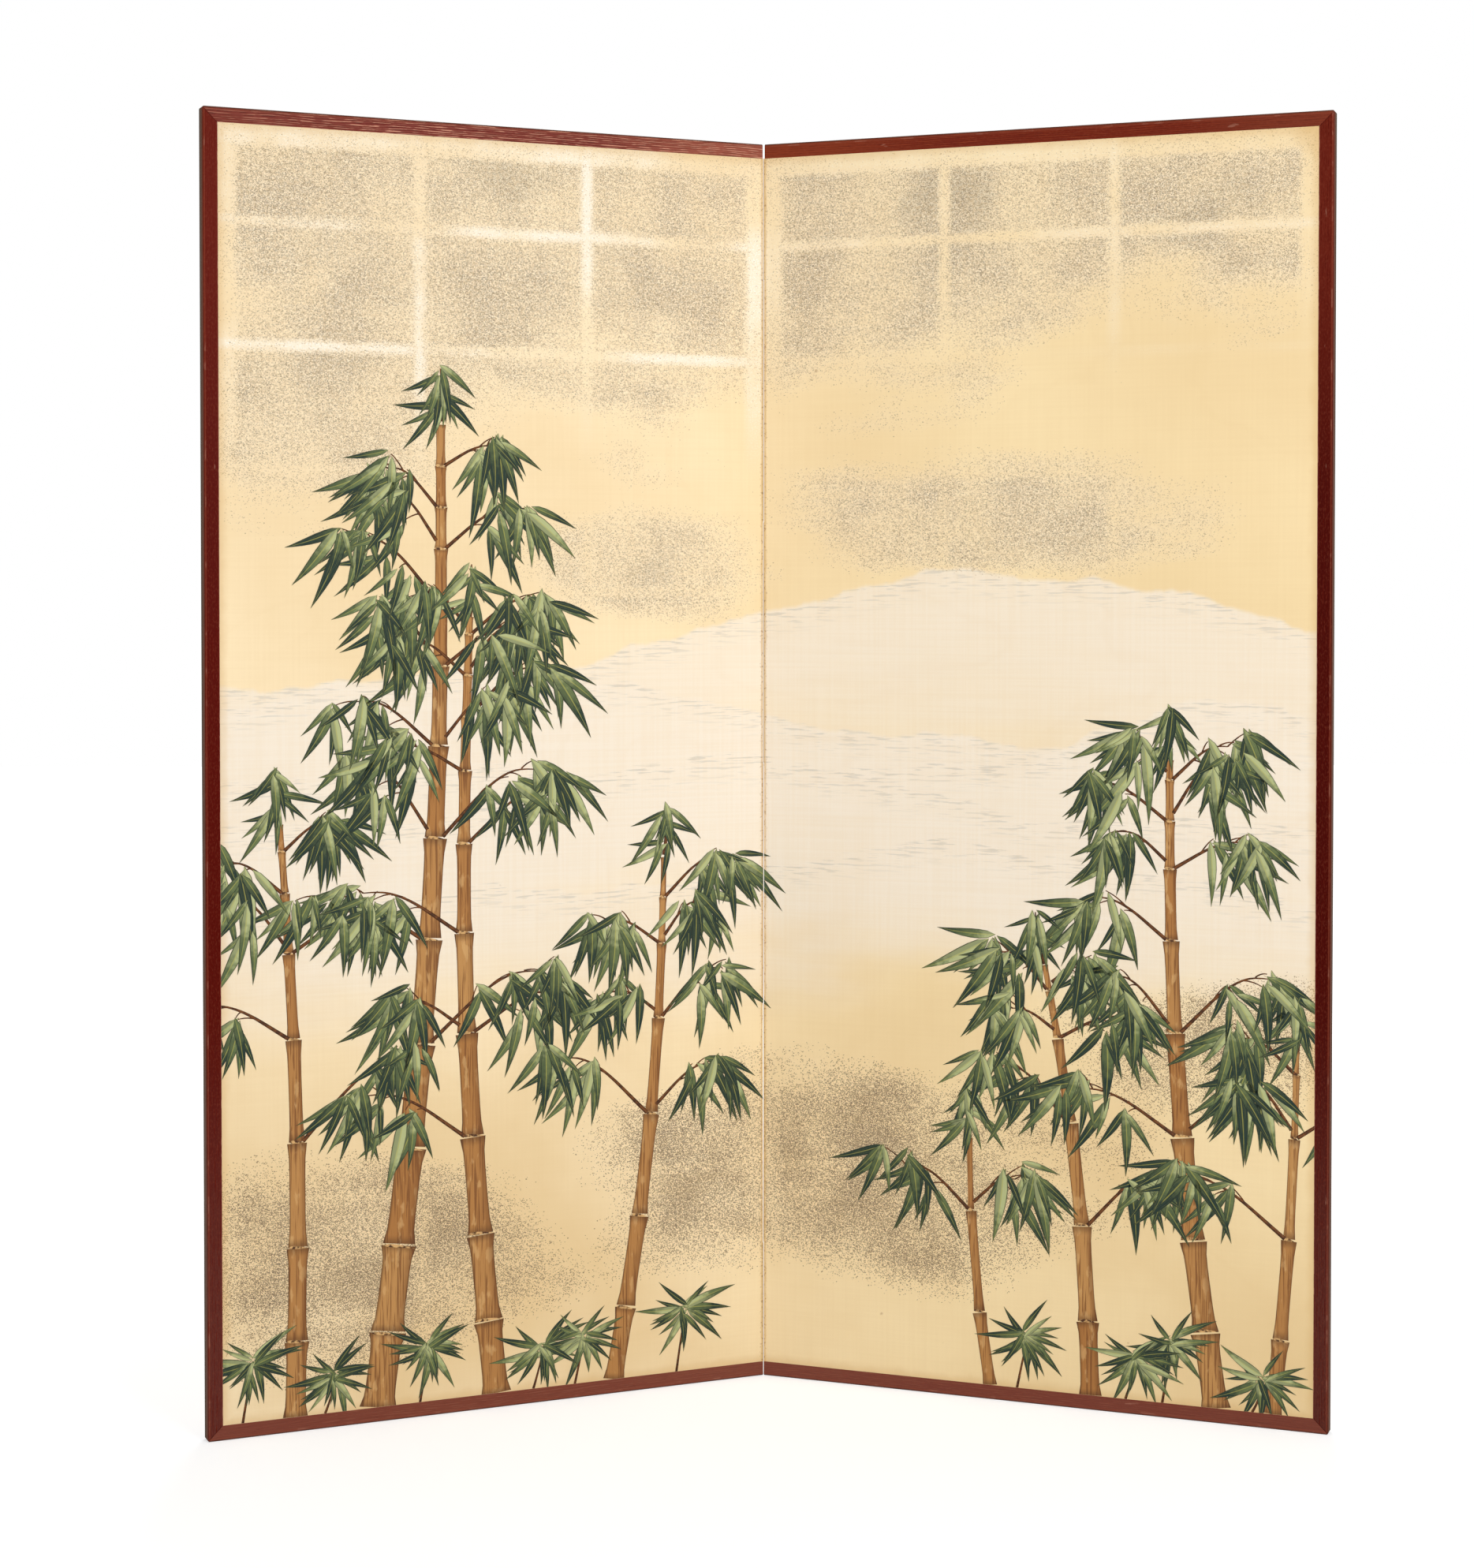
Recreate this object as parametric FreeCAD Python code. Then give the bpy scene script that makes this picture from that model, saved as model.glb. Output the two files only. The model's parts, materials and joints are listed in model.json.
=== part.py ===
import FreeCAD, Part
import math
import os

# A two-panel folding screen: a picture on silk over a paper-lined cedar lattice, in a lacquered frame,
# with paper leaves for hinges. Millimetres and degrees, Z up, the picture side towards -Y.
# Every piece is drawn on a panel laid flat: X runs from the fold to the outer edge, Y from front to back.

# Whole panel
PANEL_HEIGHT = 1727.0
PANEL_WIDTH = 788.0  # from the middle of the fold to the outer edge
PANEL_THICKNESS = 20.0
REST_FOLD_ANGLE = 44.3  # how far the open screen is from flat

# Lacquered frame
FRAME_FACE_WIDTH = 20.0
FRAME_CORNER_RADIUS = 4.0
FRAME_OUTER_ROUND = 3.0
FRAME_INNER_ROUND = 0.5
TOP_RAIL_SETBACK = 1.0  # the top rails stop this much short of the fold face
PICTURE_RECESS = 0.6  # the frame stands this much proud of the silk and of the back paper

# Layers of a panel, from the front and again from the back
SILK_THICKNESS = 0.5
BACK_PAPER_THICKNESS = 0.5
LINING_THICKNESS = 1.0

# Cedar lattice
OUTER_STILE_WIDTH = 31.0
FOLD_STILE_WIDTH = 25.0
CORE_RAIL_HEIGHT = 25.0
UPRIGHT_RIB_WIDTH = 14.0
UPRIGHT_RIB_COUNT = 2
CROSS_RIB_HEIGHT = 12.0
CROSS_RIB_PITCH = 160.0

# Joints of the lattice
RIB_TENON_LENGTH = 6.0
RAIL_TENON_LENGTH = 18.0
TENON_THICKNESS_SHARE = 1 / 3
RAIL_TENON_HEIGHT_SHARE = 0.6
JOINERY_PLAY = 0.1

# Hidden square nails that hold the frame to the lattice
NAIL_WIDTH = 2.2
NAIL_POINT_WIDTH = 1.0
NAIL_POINT_LENGTH = 4.0
NAIL_LENGTH_IN_CORE = 15.0
NAIL_LENGTH_IN_FRAME = 11.0
NAIL_PLAY = 0.05
SIDE_NAIL_COUNT = 5
RAIL_NAIL_COUNT = 3

# Paper hinge
LEAF_COUNT = 6
LEAF_THICKNESS = 0.3
LEAF_SLIT = 1.0  # between one leaf and the next
LEAF_EDGE_INSET = 0.1  # a leaf turns its corner this much inside the face of the frame
FLAP_WIDTH = 45.0  # the part of a leaf that is pasted on a panel
FOLD_FACE_GAP = 0.4  # from the middle of the fold to a panel's fold face
HINGE_LINE_STANDOFF = 0.25  # the leaves turn this far outside the faces of the frame

# Overrun of every cutting tool past the face that it cuts
OVERRUN = 2.0

# Places across the width, measured from the middle of the fold
FOLD_FACE_X = FOLD_FACE_GAP
CORE_FOLD_X = FOLD_FACE_X + LINING_THICKNESS
CORE_OUTER_X = PANEL_WIDTH - FRAME_FACE_WIDTH
FOLD_STILE_INNER_X = CORE_FOLD_X + FOLD_STILE_WIDTH
OUTER_STILE_INNER_X = CORE_OUTER_X - OUTER_STILE_WIDTH

# Places through the thickness, measured from the front face of the frame
SILK_FRONT_Y = PICTURE_RECESS
LINING_FRONT_Y = SILK_FRONT_Y + SILK_THICKNESS
CORE_FRONT_Y = LINING_FRONT_Y + LINING_THICKNESS
BACK_PAPER_BACK_Y = PANEL_THICKNESS - PICTURE_RECESS
LINING_BACK_Y = BACK_PAPER_BACK_Y - BACK_PAPER_THICKNESS
CORE_BACK_Y = LINING_BACK_Y - LINING_THICKNESS
MIDDLE_Y = (CORE_FRONT_Y + CORE_BACK_Y) / 2

# Places up the height, measured from the floor
CORE_BOTTOM_Z = FRAME_FACE_WIDTH
CORE_TOP_Z = PANEL_HEIGHT - FRAME_FACE_WIDTH
CORE_HEIGHT = CORE_TOP_Z - CORE_BOTTOM_Z
BOTTOM_RAIL_TOP_Z = CORE_BOTTOM_Z + CORE_RAIL_HEIGHT
TOP_RAIL_BOTTOM_Z = CORE_TOP_Z - CORE_RAIL_HEIGHT

# As many cross ribs as the height holds at their pitch
CROSS_RIB_COUNT = int((TOP_RAIL_BOTTOM_Z - BOTTOM_RAIL_TOP_Z - CROSS_RIB_HEIGHT) // CROSS_RIB_PITCH)

TENON_HALF_THICKNESS = TENON_THICKNESS_SHARE * (CORE_BACK_Y - CORE_FRONT_Y) / 2
RAIL_TENON_HALF_HEIGHT = RAIL_TENON_HEIGHT_SHARE * CORE_RAIL_HEIGHT / 2


def block(x, y, z):
    """A box between two values on each axis."""
    size = [pair[1] - pair[0] for pair in (x, y, z)]
    return Part.makeBox(*size, FreeCAD.Vector(x[0], y[0], z[0]))


def around(middle, half):
    return (middle - half, middle + half)


def upright_rib_xs():
    """Middles of the upright ribs, which share the space between the stiles evenly."""
    clear = OUTER_STILE_INNER_X - FOLD_STILE_INNER_X - UPRIGHT_RIB_COUNT * UPRIGHT_RIB_WIDTH
    cell = clear / (UPRIGHT_RIB_COUNT + 1)
    first = FOLD_STILE_INNER_X + cell + UPRIGHT_RIB_WIDTH / 2
    return [first + i * (cell + UPRIGHT_RIB_WIDTH) for i in range(UPRIGHT_RIB_COUNT)]


def cross_rib_zs():
    """Middles of the cross ribs, from the top down, centred on the height."""
    first = (CORE_TOP_Z + CORE_BOTTOM_Z + (CROSS_RIB_COUNT - 1) * CROSS_RIB_PITCH) / 2
    return [first - k * CROSS_RIB_PITCH for k in range(CROSS_RIB_COUNT)]


def tenon_y(play=0.0):
    return around(MIDDLE_Y, TENON_HALF_THICKNESS + play)


def lap_y(column, row, of_upright):
    """The half of the depth that one rib gives up where it crosses another: front and back take turns."""
    front = ((column + row) % 2 == 0) == of_upright
    if front:
        return (CORE_FRONT_Y - OVERRUN, MIDDLE_Y)
    return (MIDDLE_Y, CORE_BACK_Y + OVERRUN)


def core_depth():
    return (CORE_FRONT_Y, CORE_BACK_Y)


def stile_mortises(x):
    """Slots in a stile for the ends of the rails and of the cross ribs."""
    slots = []
    for z in (CORE_BOTTOM_Z + CORE_RAIL_HEIGHT / 2, CORE_TOP_Z - CORE_RAIL_HEIGHT / 2):
        depth = RAIL_TENON_LENGTH + JOINERY_PLAY
        slots.append(block(around(x, depth), tenon_y(JOINERY_PLAY),
                           around(z, RAIL_TENON_HALF_HEIGHT + JOINERY_PLAY)))
    for z in cross_rib_zs():
        depth = RIB_TENON_LENGTH + JOINERY_PLAY
        slots.append(block(around(x, depth), tenon_y(JOINERY_PLAY),
                           around(z, CROSS_RIB_HEIGHT / 2 + JOINERY_PLAY)))
    return slots


def core_outer_stile():
    stile = block((OUTER_STILE_INNER_X, CORE_OUTER_X), core_depth(), (CORE_BOTTOM_Z, CORE_TOP_Z))
    return stile.cut(stile_mortises(OUTER_STILE_INNER_X) + side_nail_holes())


def core_fold_stile():
    stile = block((CORE_FOLD_X, FOLD_STILE_INNER_X), core_depth(), (CORE_BOTTOM_Z, CORE_TOP_Z))
    return stile.cut(stile_mortises(FOLD_STILE_INNER_X))


def core_rail(low_z, inner_z, nail_holes):
    """A rail between the stiles, with a stub tenon at each end and slots for the upright ribs."""
    rail = block((FOLD_STILE_INNER_X, OUTER_STILE_INNER_X), core_depth(), (low_z, low_z + CORE_RAIL_HEIGHT))
    tenon = block((FOLD_STILE_INNER_X - RAIL_TENON_LENGTH, OUTER_STILE_INNER_X + RAIL_TENON_LENGTH),
                  tenon_y(), around(low_z + CORE_RAIL_HEIGHT / 2, RAIL_TENON_HALF_HEIGHT))
    slots = [block(around(x, UPRIGHT_RIB_WIDTH / 2 + JOINERY_PLAY), tenon_y(JOINERY_PLAY),
                   around(inner_z, RIB_TENON_LENGTH + JOINERY_PLAY)) for x in upright_rib_xs()]
    return rail.fuse(tenon).cut(slots + nail_holes).removeSplitter()


def core_top_rail():
    return core_rail(TOP_RAIL_BOTTOM_Z, TOP_RAIL_BOTTOM_Z, rail_nail_holes(CORE_TOP_Z, 1))


def core_bottom_rail():
    return core_rail(CORE_BOTTOM_Z, BOTTOM_RAIL_TOP_Z, rail_nail_holes(CORE_BOTTOM_Z, -1))


def core_upright_ribs():
    ribs = []
    for column, x in enumerate(upright_rib_xs()):
        rib = block(around(x, UPRIGHT_RIB_WIDTH / 2), core_depth(), (BOTTOM_RAIL_TOP_Z, TOP_RAIL_BOTTOM_Z))
        tenons = block(around(x, UPRIGHT_RIB_WIDTH / 2), tenon_y(),
                       (BOTTOM_RAIL_TOP_Z - RIB_TENON_LENGTH, TOP_RAIL_BOTTOM_Z + RIB_TENON_LENGTH))
        laps = [block(around(x, UPRIGHT_RIB_WIDTH / 2 + OVERRUN), lap_y(column, row, True),
                      around(z, CROSS_RIB_HEIGHT / 2 + JOINERY_PLAY))
                for row, z in enumerate(cross_rib_zs())]
        ribs.append(rib.fuse(tenons).cut(laps).removeSplitter())
    return Part.makeCompound(ribs)


def core_cross_ribs():
    ribs = []
    for row, z in enumerate(cross_rib_zs()):
        rib = block((FOLD_STILE_INNER_X, OUTER_STILE_INNER_X), core_depth(), around(z, CROSS_RIB_HEIGHT / 2))
        tenons = block((FOLD_STILE_INNER_X - RIB_TENON_LENGTH, OUTER_STILE_INNER_X + RIB_TENON_LENGTH),
                       tenon_y(), around(z, CROSS_RIB_HEIGHT / 2))
        laps = [block(around(x, UPRIGHT_RIB_WIDTH / 2 + JOINERY_PLAY), lap_y(column, row, False),
                      around(z, CROSS_RIB_HEIGHT / 2 + OVERRUN))
                for column, x in enumerate(upright_rib_xs())]
        ribs.append(rib.fuse(tenons).cut(laps).removeSplitter())
    return Part.makeCompound(ribs)


def square_across(middle, direction, half):
    """A square outline about a point, across a direction that lies in the plane of the panel."""
    through = FreeCAD.Vector(0, 1, 0)
    sideways = direction.cross(through)
    corners = [middle + (sideways * a + through * b) * half for a, b in ((-1, -1), (1, -1), (1, 1), (-1, 1))]
    return Part.makePolygon(corners + corners[:1])


def nail(foot, direction, play=0.0):
    """A headless square nail with its foot in the frame and its point in the core; play widens it to a hole."""
    length = NAIL_LENGTH_IN_CORE + NAIL_LENGTH_IN_FRAME
    shank = length - NAIL_POINT_LENGTH
    outlines = [square_across(foot - direction * play, direction, NAIL_WIDTH / 2 + play),
                square_across(foot + direction * shank, direction, NAIL_WIDTH / 2 + play),
                square_across(foot + direction * (length + play), direction, NAIL_POINT_WIDTH / 2 + play)]
    return Part.makeLoft(outlines, True, True)


def side_nails(play=0.0):
    """Nails between the outer stile and the upright of the frame."""
    step = CORE_HEIGHT / SIDE_NAIL_COUNT
    feet = [FreeCAD.Vector(CORE_OUTER_X + NAIL_LENGTH_IN_FRAME, MIDDLE_Y, CORE_BOTTOM_Z + (i + 0.5) * step)
            for i in range(SIDE_NAIL_COUNT)]
    return [nail(foot, FreeCAD.Vector(-1, 0, 0), play) for foot in feet]


def rail_nails(face_z, outwards, play=0.0):
    """Nails between a rail of the core and the rail of the frame outside it."""
    step = (CORE_OUTER_X - CORE_FOLD_X) / RAIL_NAIL_COUNT
    feet = [FreeCAD.Vector(CORE_FOLD_X + (i + 0.5) * step, MIDDLE_Y, face_z + outwards * NAIL_LENGTH_IN_FRAME)
            for i in range(RAIL_NAIL_COUNT)]
    return [nail(foot, FreeCAD.Vector(0, 0, -outwards), play) for foot in feet]


def side_nail_holes():
    return side_nails(NAIL_PLAY)


def rail_nail_holes(face_z, outwards):
    return rail_nails(face_z, outwards, NAIL_PLAY)


def frame_nails():
    return Part.makeCompound(side_nails() + rail_nails(CORE_TOP_Z, 1) + rail_nails(CORE_BOTTOM_Z, -1))


def rounded_outline():
    """The whole panel with its two outer corners rounded in elevation."""
    outline = block((FOLD_FACE_X, PANEL_WIDTH), (0, PANEL_THICKNESS), (0, PANEL_HEIGHT))
    corners = [e for e in outline.Edges if e.BoundBox.YLength > PANEL_THICKNESS / 2
               and e.BoundBox.XMin > PANEL_WIDTH / 2]
    return outline.makeFillet(FRAME_CORNER_RADIUS, corners)


def moulding(x, z, inner_point):
    """A straight length of frame. Its outer arrises are well rounded, and those on the side of a point less so."""
    bar = block(x, (0, PANEL_THICKNESS), z)

    def arrises(inner):
        reach = FRAME_FACE_WIDTH / 2
        long_ones = [e for e in bar.Edges if e.Length > PANEL_WIDTH / 2]
        middles = [(e, FreeCAD.Vector(e.CenterOfMass.x, 0, e.CenterOfMass.z)) for e in long_ones]
        return [e for e, middle in middles if (middle.distanceToPoint(inner_point) < reach) == inner]

    bar = bar.makeFillet(FRAME_OUTER_ROUND, arrises(False))
    return bar.makeFillet(FRAME_INNER_ROUND, arrises(True))


def mitre_region(points):
    """A prism through the whole thickness over a polygon of X and Z places."""
    corners = [FreeCAD.Vector(x, -OVERRUN, z) for x, z in points]
    face = Part.Face(Part.makePolygon(corners + corners[:1]))
    return face.extrude(FreeCAD.Vector(0, PANEL_THICKNESS + 2 * OVERRUN, 0))


def frame_side():
    """The upright of the frame, mitred at both ends."""
    bar = moulding((CORE_OUTER_X, PANEL_WIDTH), (0, PANEL_HEIGHT), FreeCAD.Vector(CORE_OUTER_X, 0, PANEL_HEIGHT / 2))
    region = mitre_region([(PANEL_WIDTH + OVERRUN, -OVERRUN), (CORE_OUTER_X, CORE_BOTTOM_Z),
                           (CORE_OUTER_X, CORE_TOP_Z), (PANEL_WIDTH + OVERRUN, PANEL_HEIGHT + OVERRUN)])
    return bar.common(region).common(rounded_outline()).cut(side_nail_holes())


def frame_rail(end_x, z, inner_z, nail_holes):
    """A rail of the frame, mitred at the outer corner and cut square at the fold."""
    middle_x = (end_x + PANEL_WIDTH) / 2
    bar = moulding((end_x, PANEL_WIDTH), z, FreeCAD.Vector(middle_x, 0, inner_z))
    outer_z = z[0] + z[1] - inner_z
    beyond = OVERRUN if outer_z > inner_z else -OVERRUN
    region = mitre_region([(end_x - OVERRUN, inner_z), (CORE_OUTER_X, inner_z),
                           (PANEL_WIDTH + OVERRUN, outer_z + beyond), (end_x - OVERRUN, outer_z + beyond)])
    return bar.common(region).common(rounded_outline()).cut(nail_holes)


def frame_top():
    """The top rail, which stops just short of the fold."""
    return frame_rail(FOLD_FACE_X + TOP_RAIL_SETBACK, (CORE_TOP_Z, PANEL_HEIGHT), CORE_TOP_Z,
                      rail_nail_holes(CORE_TOP_Z, 1))


def frame_bottom():
    """The bottom rail, which the screen stands on."""
    return frame_rail(FOLD_FACE_X, (0, CORE_BOTTOM_Z), CORE_BOTTOM_Z, rail_nail_holes(CORE_BOTTOM_Z, -1))


def leaf_spans():
    """Bottom and top of each hinge leaf, from the top down; the first and the last are half as long."""
    pitch = CORE_HEIGHT / (LEAF_COUNT - 1)
    slits = [CORE_TOP_Z - (k + 0.5) * pitch for k in range(LEAF_COUNT - 1)]
    tops = [CORE_TOP_Z] + [z - LEAF_SLIT / 2 for z in slits]
    bottoms = [z + LEAF_SLIT / 2 for z in slits] + [CORE_BOTTOM_Z]
    return list(zip(bottoms, tops))


def flaps(numbers, y):
    """The pasted ends of some of the leaves, on one face of a panel."""
    spans = leaf_spans()
    return Part.makeCompound([block((FOLD_FACE_X, FOLD_FACE_X + FLAP_WIDTH), y, spans[k]) for k in numbers])


def front_flap_y():
    return (LINING_FRONT_Y, LINING_FRONT_Y + LEAF_THICKNESS)


def back_flap_y():
    return (LINING_BACK_Y - LEAF_THICKNESS, LINING_BACK_Y)


def front_lining(flap_numbers):
    """The front layers of paper: over the lattice, round the fold edge to the middle, sunk under the flaps."""
    sheet = block((FOLD_FACE_X, CORE_OUTER_X), (LINING_FRONT_Y, CORE_FRONT_Y), (CORE_BOTTOM_Z, CORE_TOP_Z))
    turn = block((FOLD_FACE_X, CORE_FOLD_X), (LINING_FRONT_Y, MIDDLE_Y), (CORE_BOTTOM_Z, CORE_TOP_Z))
    return sheet.fuse(turn).cut(flaps(flap_numbers, front_flap_y())).removeSplitter()


def back_lining(flap_numbers):
    """The back layers of paper, which meet the front ones in the middle of the fold edge."""
    sheet = block((FOLD_FACE_X, CORE_OUTER_X), (CORE_BACK_Y, LINING_BACK_Y), (CORE_BOTTOM_Z, CORE_TOP_Z))
    turn = block((FOLD_FACE_X, CORE_FOLD_X), (MIDDLE_Y, LINING_BACK_Y), (CORE_BOTTOM_Z, CORE_TOP_Z))
    return sheet.fuse(turn).cut(flaps(flap_numbers, back_flap_y())).removeSplitter()


def picture_silk():
    return block((FOLD_FACE_X, CORE_OUTER_X), (SILK_FRONT_Y, LINING_FRONT_Y), (CORE_BOTTOM_Z, CORE_TOP_Z))


def back_paper():
    return block((FOLD_FACE_X, CORE_OUTER_X), (LINING_BACK_Y, BACK_PAPER_BACK_Y), (CORE_BOTTOM_Z, CORE_TOP_Z))


def hinge_web(number):
    """The part of a leaf that crosses the fold, from the front edge of one panel to the back edge of the other."""
    depth = (LEAF_EDGE_INSET, PANEL_THICKNESS - LEAF_EDGE_INSET)
    return block(around(0, LEAF_THICKNESS / 2), depth, leaf_spans()[number])


def panel_pieces(front_flaps, back_flaps):
    """Every piece of one panel. The two lists say which leaves are pasted on its front and on its back."""
    return {
        "core_outer_stile": core_outer_stile(),
        "core_fold_stile": core_fold_stile(),
        "core_top_rail": core_top_rail(),
        "core_bottom_rail": core_bottom_rail(),
        "core_upright_ribs": core_upright_ribs(),
        "core_cross_ribs": core_cross_ribs(),
        "front_lining": front_lining(front_flaps),
        "back_lining": back_lining(back_flaps),
        "front_hinge_flaps": flaps(front_flaps, front_flap_y()),
        "back_hinge_flaps": flaps(back_flaps, back_flap_y()),
        "picture_silk": picture_silk(),
        "back_paper": back_paper(),
        "frame_side": frame_side(),
        "frame_top": frame_top(),
        "frame_bottom": frame_bottom(),
        "frame_nails": frame_nails(),
    }


def stand(shape, side):
    """Turns a flat panel piece about the front hinge line, by half the fold, and centres the screen on the floor.

    side is 1 for the right panel and -1 for the left one."""
    half = math.radians(REST_FOLD_ANGLE / 2)
    front = -PANEL_WIDTH * math.sin(half) + HINGE_LINE_STANDOFF * math.cos(half)
    back = -FOLD_FACE_GAP * math.sin(half) + (PANEL_THICKNESS + HINGE_LINE_STANDOFF) * math.cos(half)
    placed = shape.copy()
    placed.translate(FreeCAD.Vector(0, HINGE_LINE_STANDOFF, 0))
    placed.rotate(FreeCAD.Vector(0, 0, 0), FreeCAD.Vector(0, 0, 1), -side * REST_FOLD_ANGLE / 2)
    placed.translate(FreeCAD.Vector(0, -(front + back) / 2, 0))
    return placed


def all_pieces():
    first_kind = range(0, LEAF_COUNT, 2)  # from the front of the left panel to the back of the right one
    second_kind = range(1, LEAF_COUNT, 2)  # from the back of the left panel to the front of the right one
    pieces = {}
    for name, shape in panel_pieces(second_kind, first_kind).items():
        pieces["right_" + name] = stand(shape, 1)
    for name, shape in panel_pieces(first_kind, second_kind).items():
        mirrored = shape.mirror(FreeCAD.Vector(0, 0, 0), FreeCAD.Vector(1, 0, 0))
        pieces["left_" + name] = stand(mirrored, -1)
    for number in range(LEAF_COUNT):
        side = 1 if number in first_kind else -1
        pieces[f"hinge_leaf_{number + 1}"] = stand(hinge_web(number), side)
    return pieces


def print_places():
    """Prints the hinge lines and the middles of the rest faces, in the standing screen."""
    marks = {
        "front hinge line": (0, -HINGE_LINE_STANDOFF, 1),
        "back hinge line, right panel": (0, PANEL_THICKNESS + HINGE_LINE_STANDOFF, 1),
        "back hinge line, left panel": (0, PANEL_THICKNESS + HINGE_LINE_STANDOFF, -1),
        "right rest face": (PANEL_WIDTH / 2, PANEL_THICKNESS / 2, 1),
        "left rest face": (-PANEL_WIDTH / 2, PANEL_THICKNESS / 2, -1),
    }
    for name, (x, y, side) in marks.items():
        point = stand(Part.Vertex(x, y, 0), side).Point
        print(f"{name}: {point.x:.3f} {point.y:.3f} {point.z:.3f}")


def main():
    os.makedirs("parts", exist_ok=True)
    facets = 0
    for name, shape in all_pieces().items():
        if not shape.isValid():
            print("not valid:", name)
        shape.exportStep(f"parts/{name}.step")
        facets += len(shape.tessellate(0.1)[1])
    print("facets", facets)
    print_places()


main()
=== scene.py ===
# %% [markdown]
# # A two-panel folding screen
# A folding screen of this kind is two light wooden lattices, papered on both sides, joined by paper hinges
# and finished with a picture on silk in front, a covering paper behind and a lacquered frame around the
# outside. The construction comes ready made. This lesson adds what the eye sees: lacquer, silk, paper, paint.

# %% Load the frame
import json
import math
import random

import bpy
from mathutils import Matrix, Vector


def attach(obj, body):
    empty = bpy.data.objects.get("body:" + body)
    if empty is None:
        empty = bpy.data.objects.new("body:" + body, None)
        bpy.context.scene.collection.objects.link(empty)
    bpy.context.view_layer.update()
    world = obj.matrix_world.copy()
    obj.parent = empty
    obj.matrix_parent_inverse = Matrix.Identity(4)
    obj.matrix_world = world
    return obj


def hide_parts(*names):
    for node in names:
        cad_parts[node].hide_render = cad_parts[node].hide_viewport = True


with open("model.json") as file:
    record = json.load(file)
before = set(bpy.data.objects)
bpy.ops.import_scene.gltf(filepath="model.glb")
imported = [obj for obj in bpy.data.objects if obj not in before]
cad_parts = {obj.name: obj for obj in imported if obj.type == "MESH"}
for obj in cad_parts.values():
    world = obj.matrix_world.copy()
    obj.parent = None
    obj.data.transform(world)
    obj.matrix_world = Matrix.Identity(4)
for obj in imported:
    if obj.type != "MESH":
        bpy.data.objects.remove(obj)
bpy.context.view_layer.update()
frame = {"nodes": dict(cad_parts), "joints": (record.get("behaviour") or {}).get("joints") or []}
print("pieces of the construction:", len(frame["nodes"]))

# %% [markdown]
# ## Two panels, one flat picture
# The picture was made flat and the screen stands folded, so it is easiest to plan everything on the flat.
# X runs along the picture, below zero on the left panel and above zero on the right one, Z runs up, and Y
# runs from front to back. One matrix for each side then carries flat work to its panel.

# %% Places on the flat screen
joints = {joint["name"]: joint for joint in frame["joints"]}
fold_line = Vector(joints["fold_forward"]["pos_m"])
half_fold = math.radians(joints["fold_forward"]["range_deg"][1]) / 2
TURN = {"left": half_fold, "right": -half_fold}
PLACE = {side: Matrix.Translation(fold_line) @ Matrix.Rotation(turn, 4, "Z") for side, turn in TURN.items()}


def flat_box(node):
    """Lowest and highest corner of a piece of the construction, measured on its panel laid flat."""
    to_flat = PLACE[node.split("_")[0]].inverted()
    points = [to_flat @ vertex.co for vertex in frame["nodes"][node].data.vertices]
    return [Vector(pick(point[axis] for point in points) for axis in range(3)) for pick in (min, max)]


silk_low, silk_high = flat_box("right_picture_silk")
side_low, side_high = flat_box("right_frame_side")
picture_right, picture_bottom, picture_top = silk_high.x, silk_low.z, silk_high.z
picture_middle = (picture_bottom + picture_top) / 2
print("picture, flat, in metres:", round(2 * picture_right, 3), "x", round(picture_top - picture_bottom, 3))

# %% [markdown]
# ## Small tools
# A shader is a net of nodes. Adding and linking each by hand hides the idea behind the clicks, so a short
# class adds a node, fills its inputs and gives back its result. A finish is then written as a craftsman
# would tell it: a ground, and coats over it, each with its tone, where it lies and how well it covers.


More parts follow.
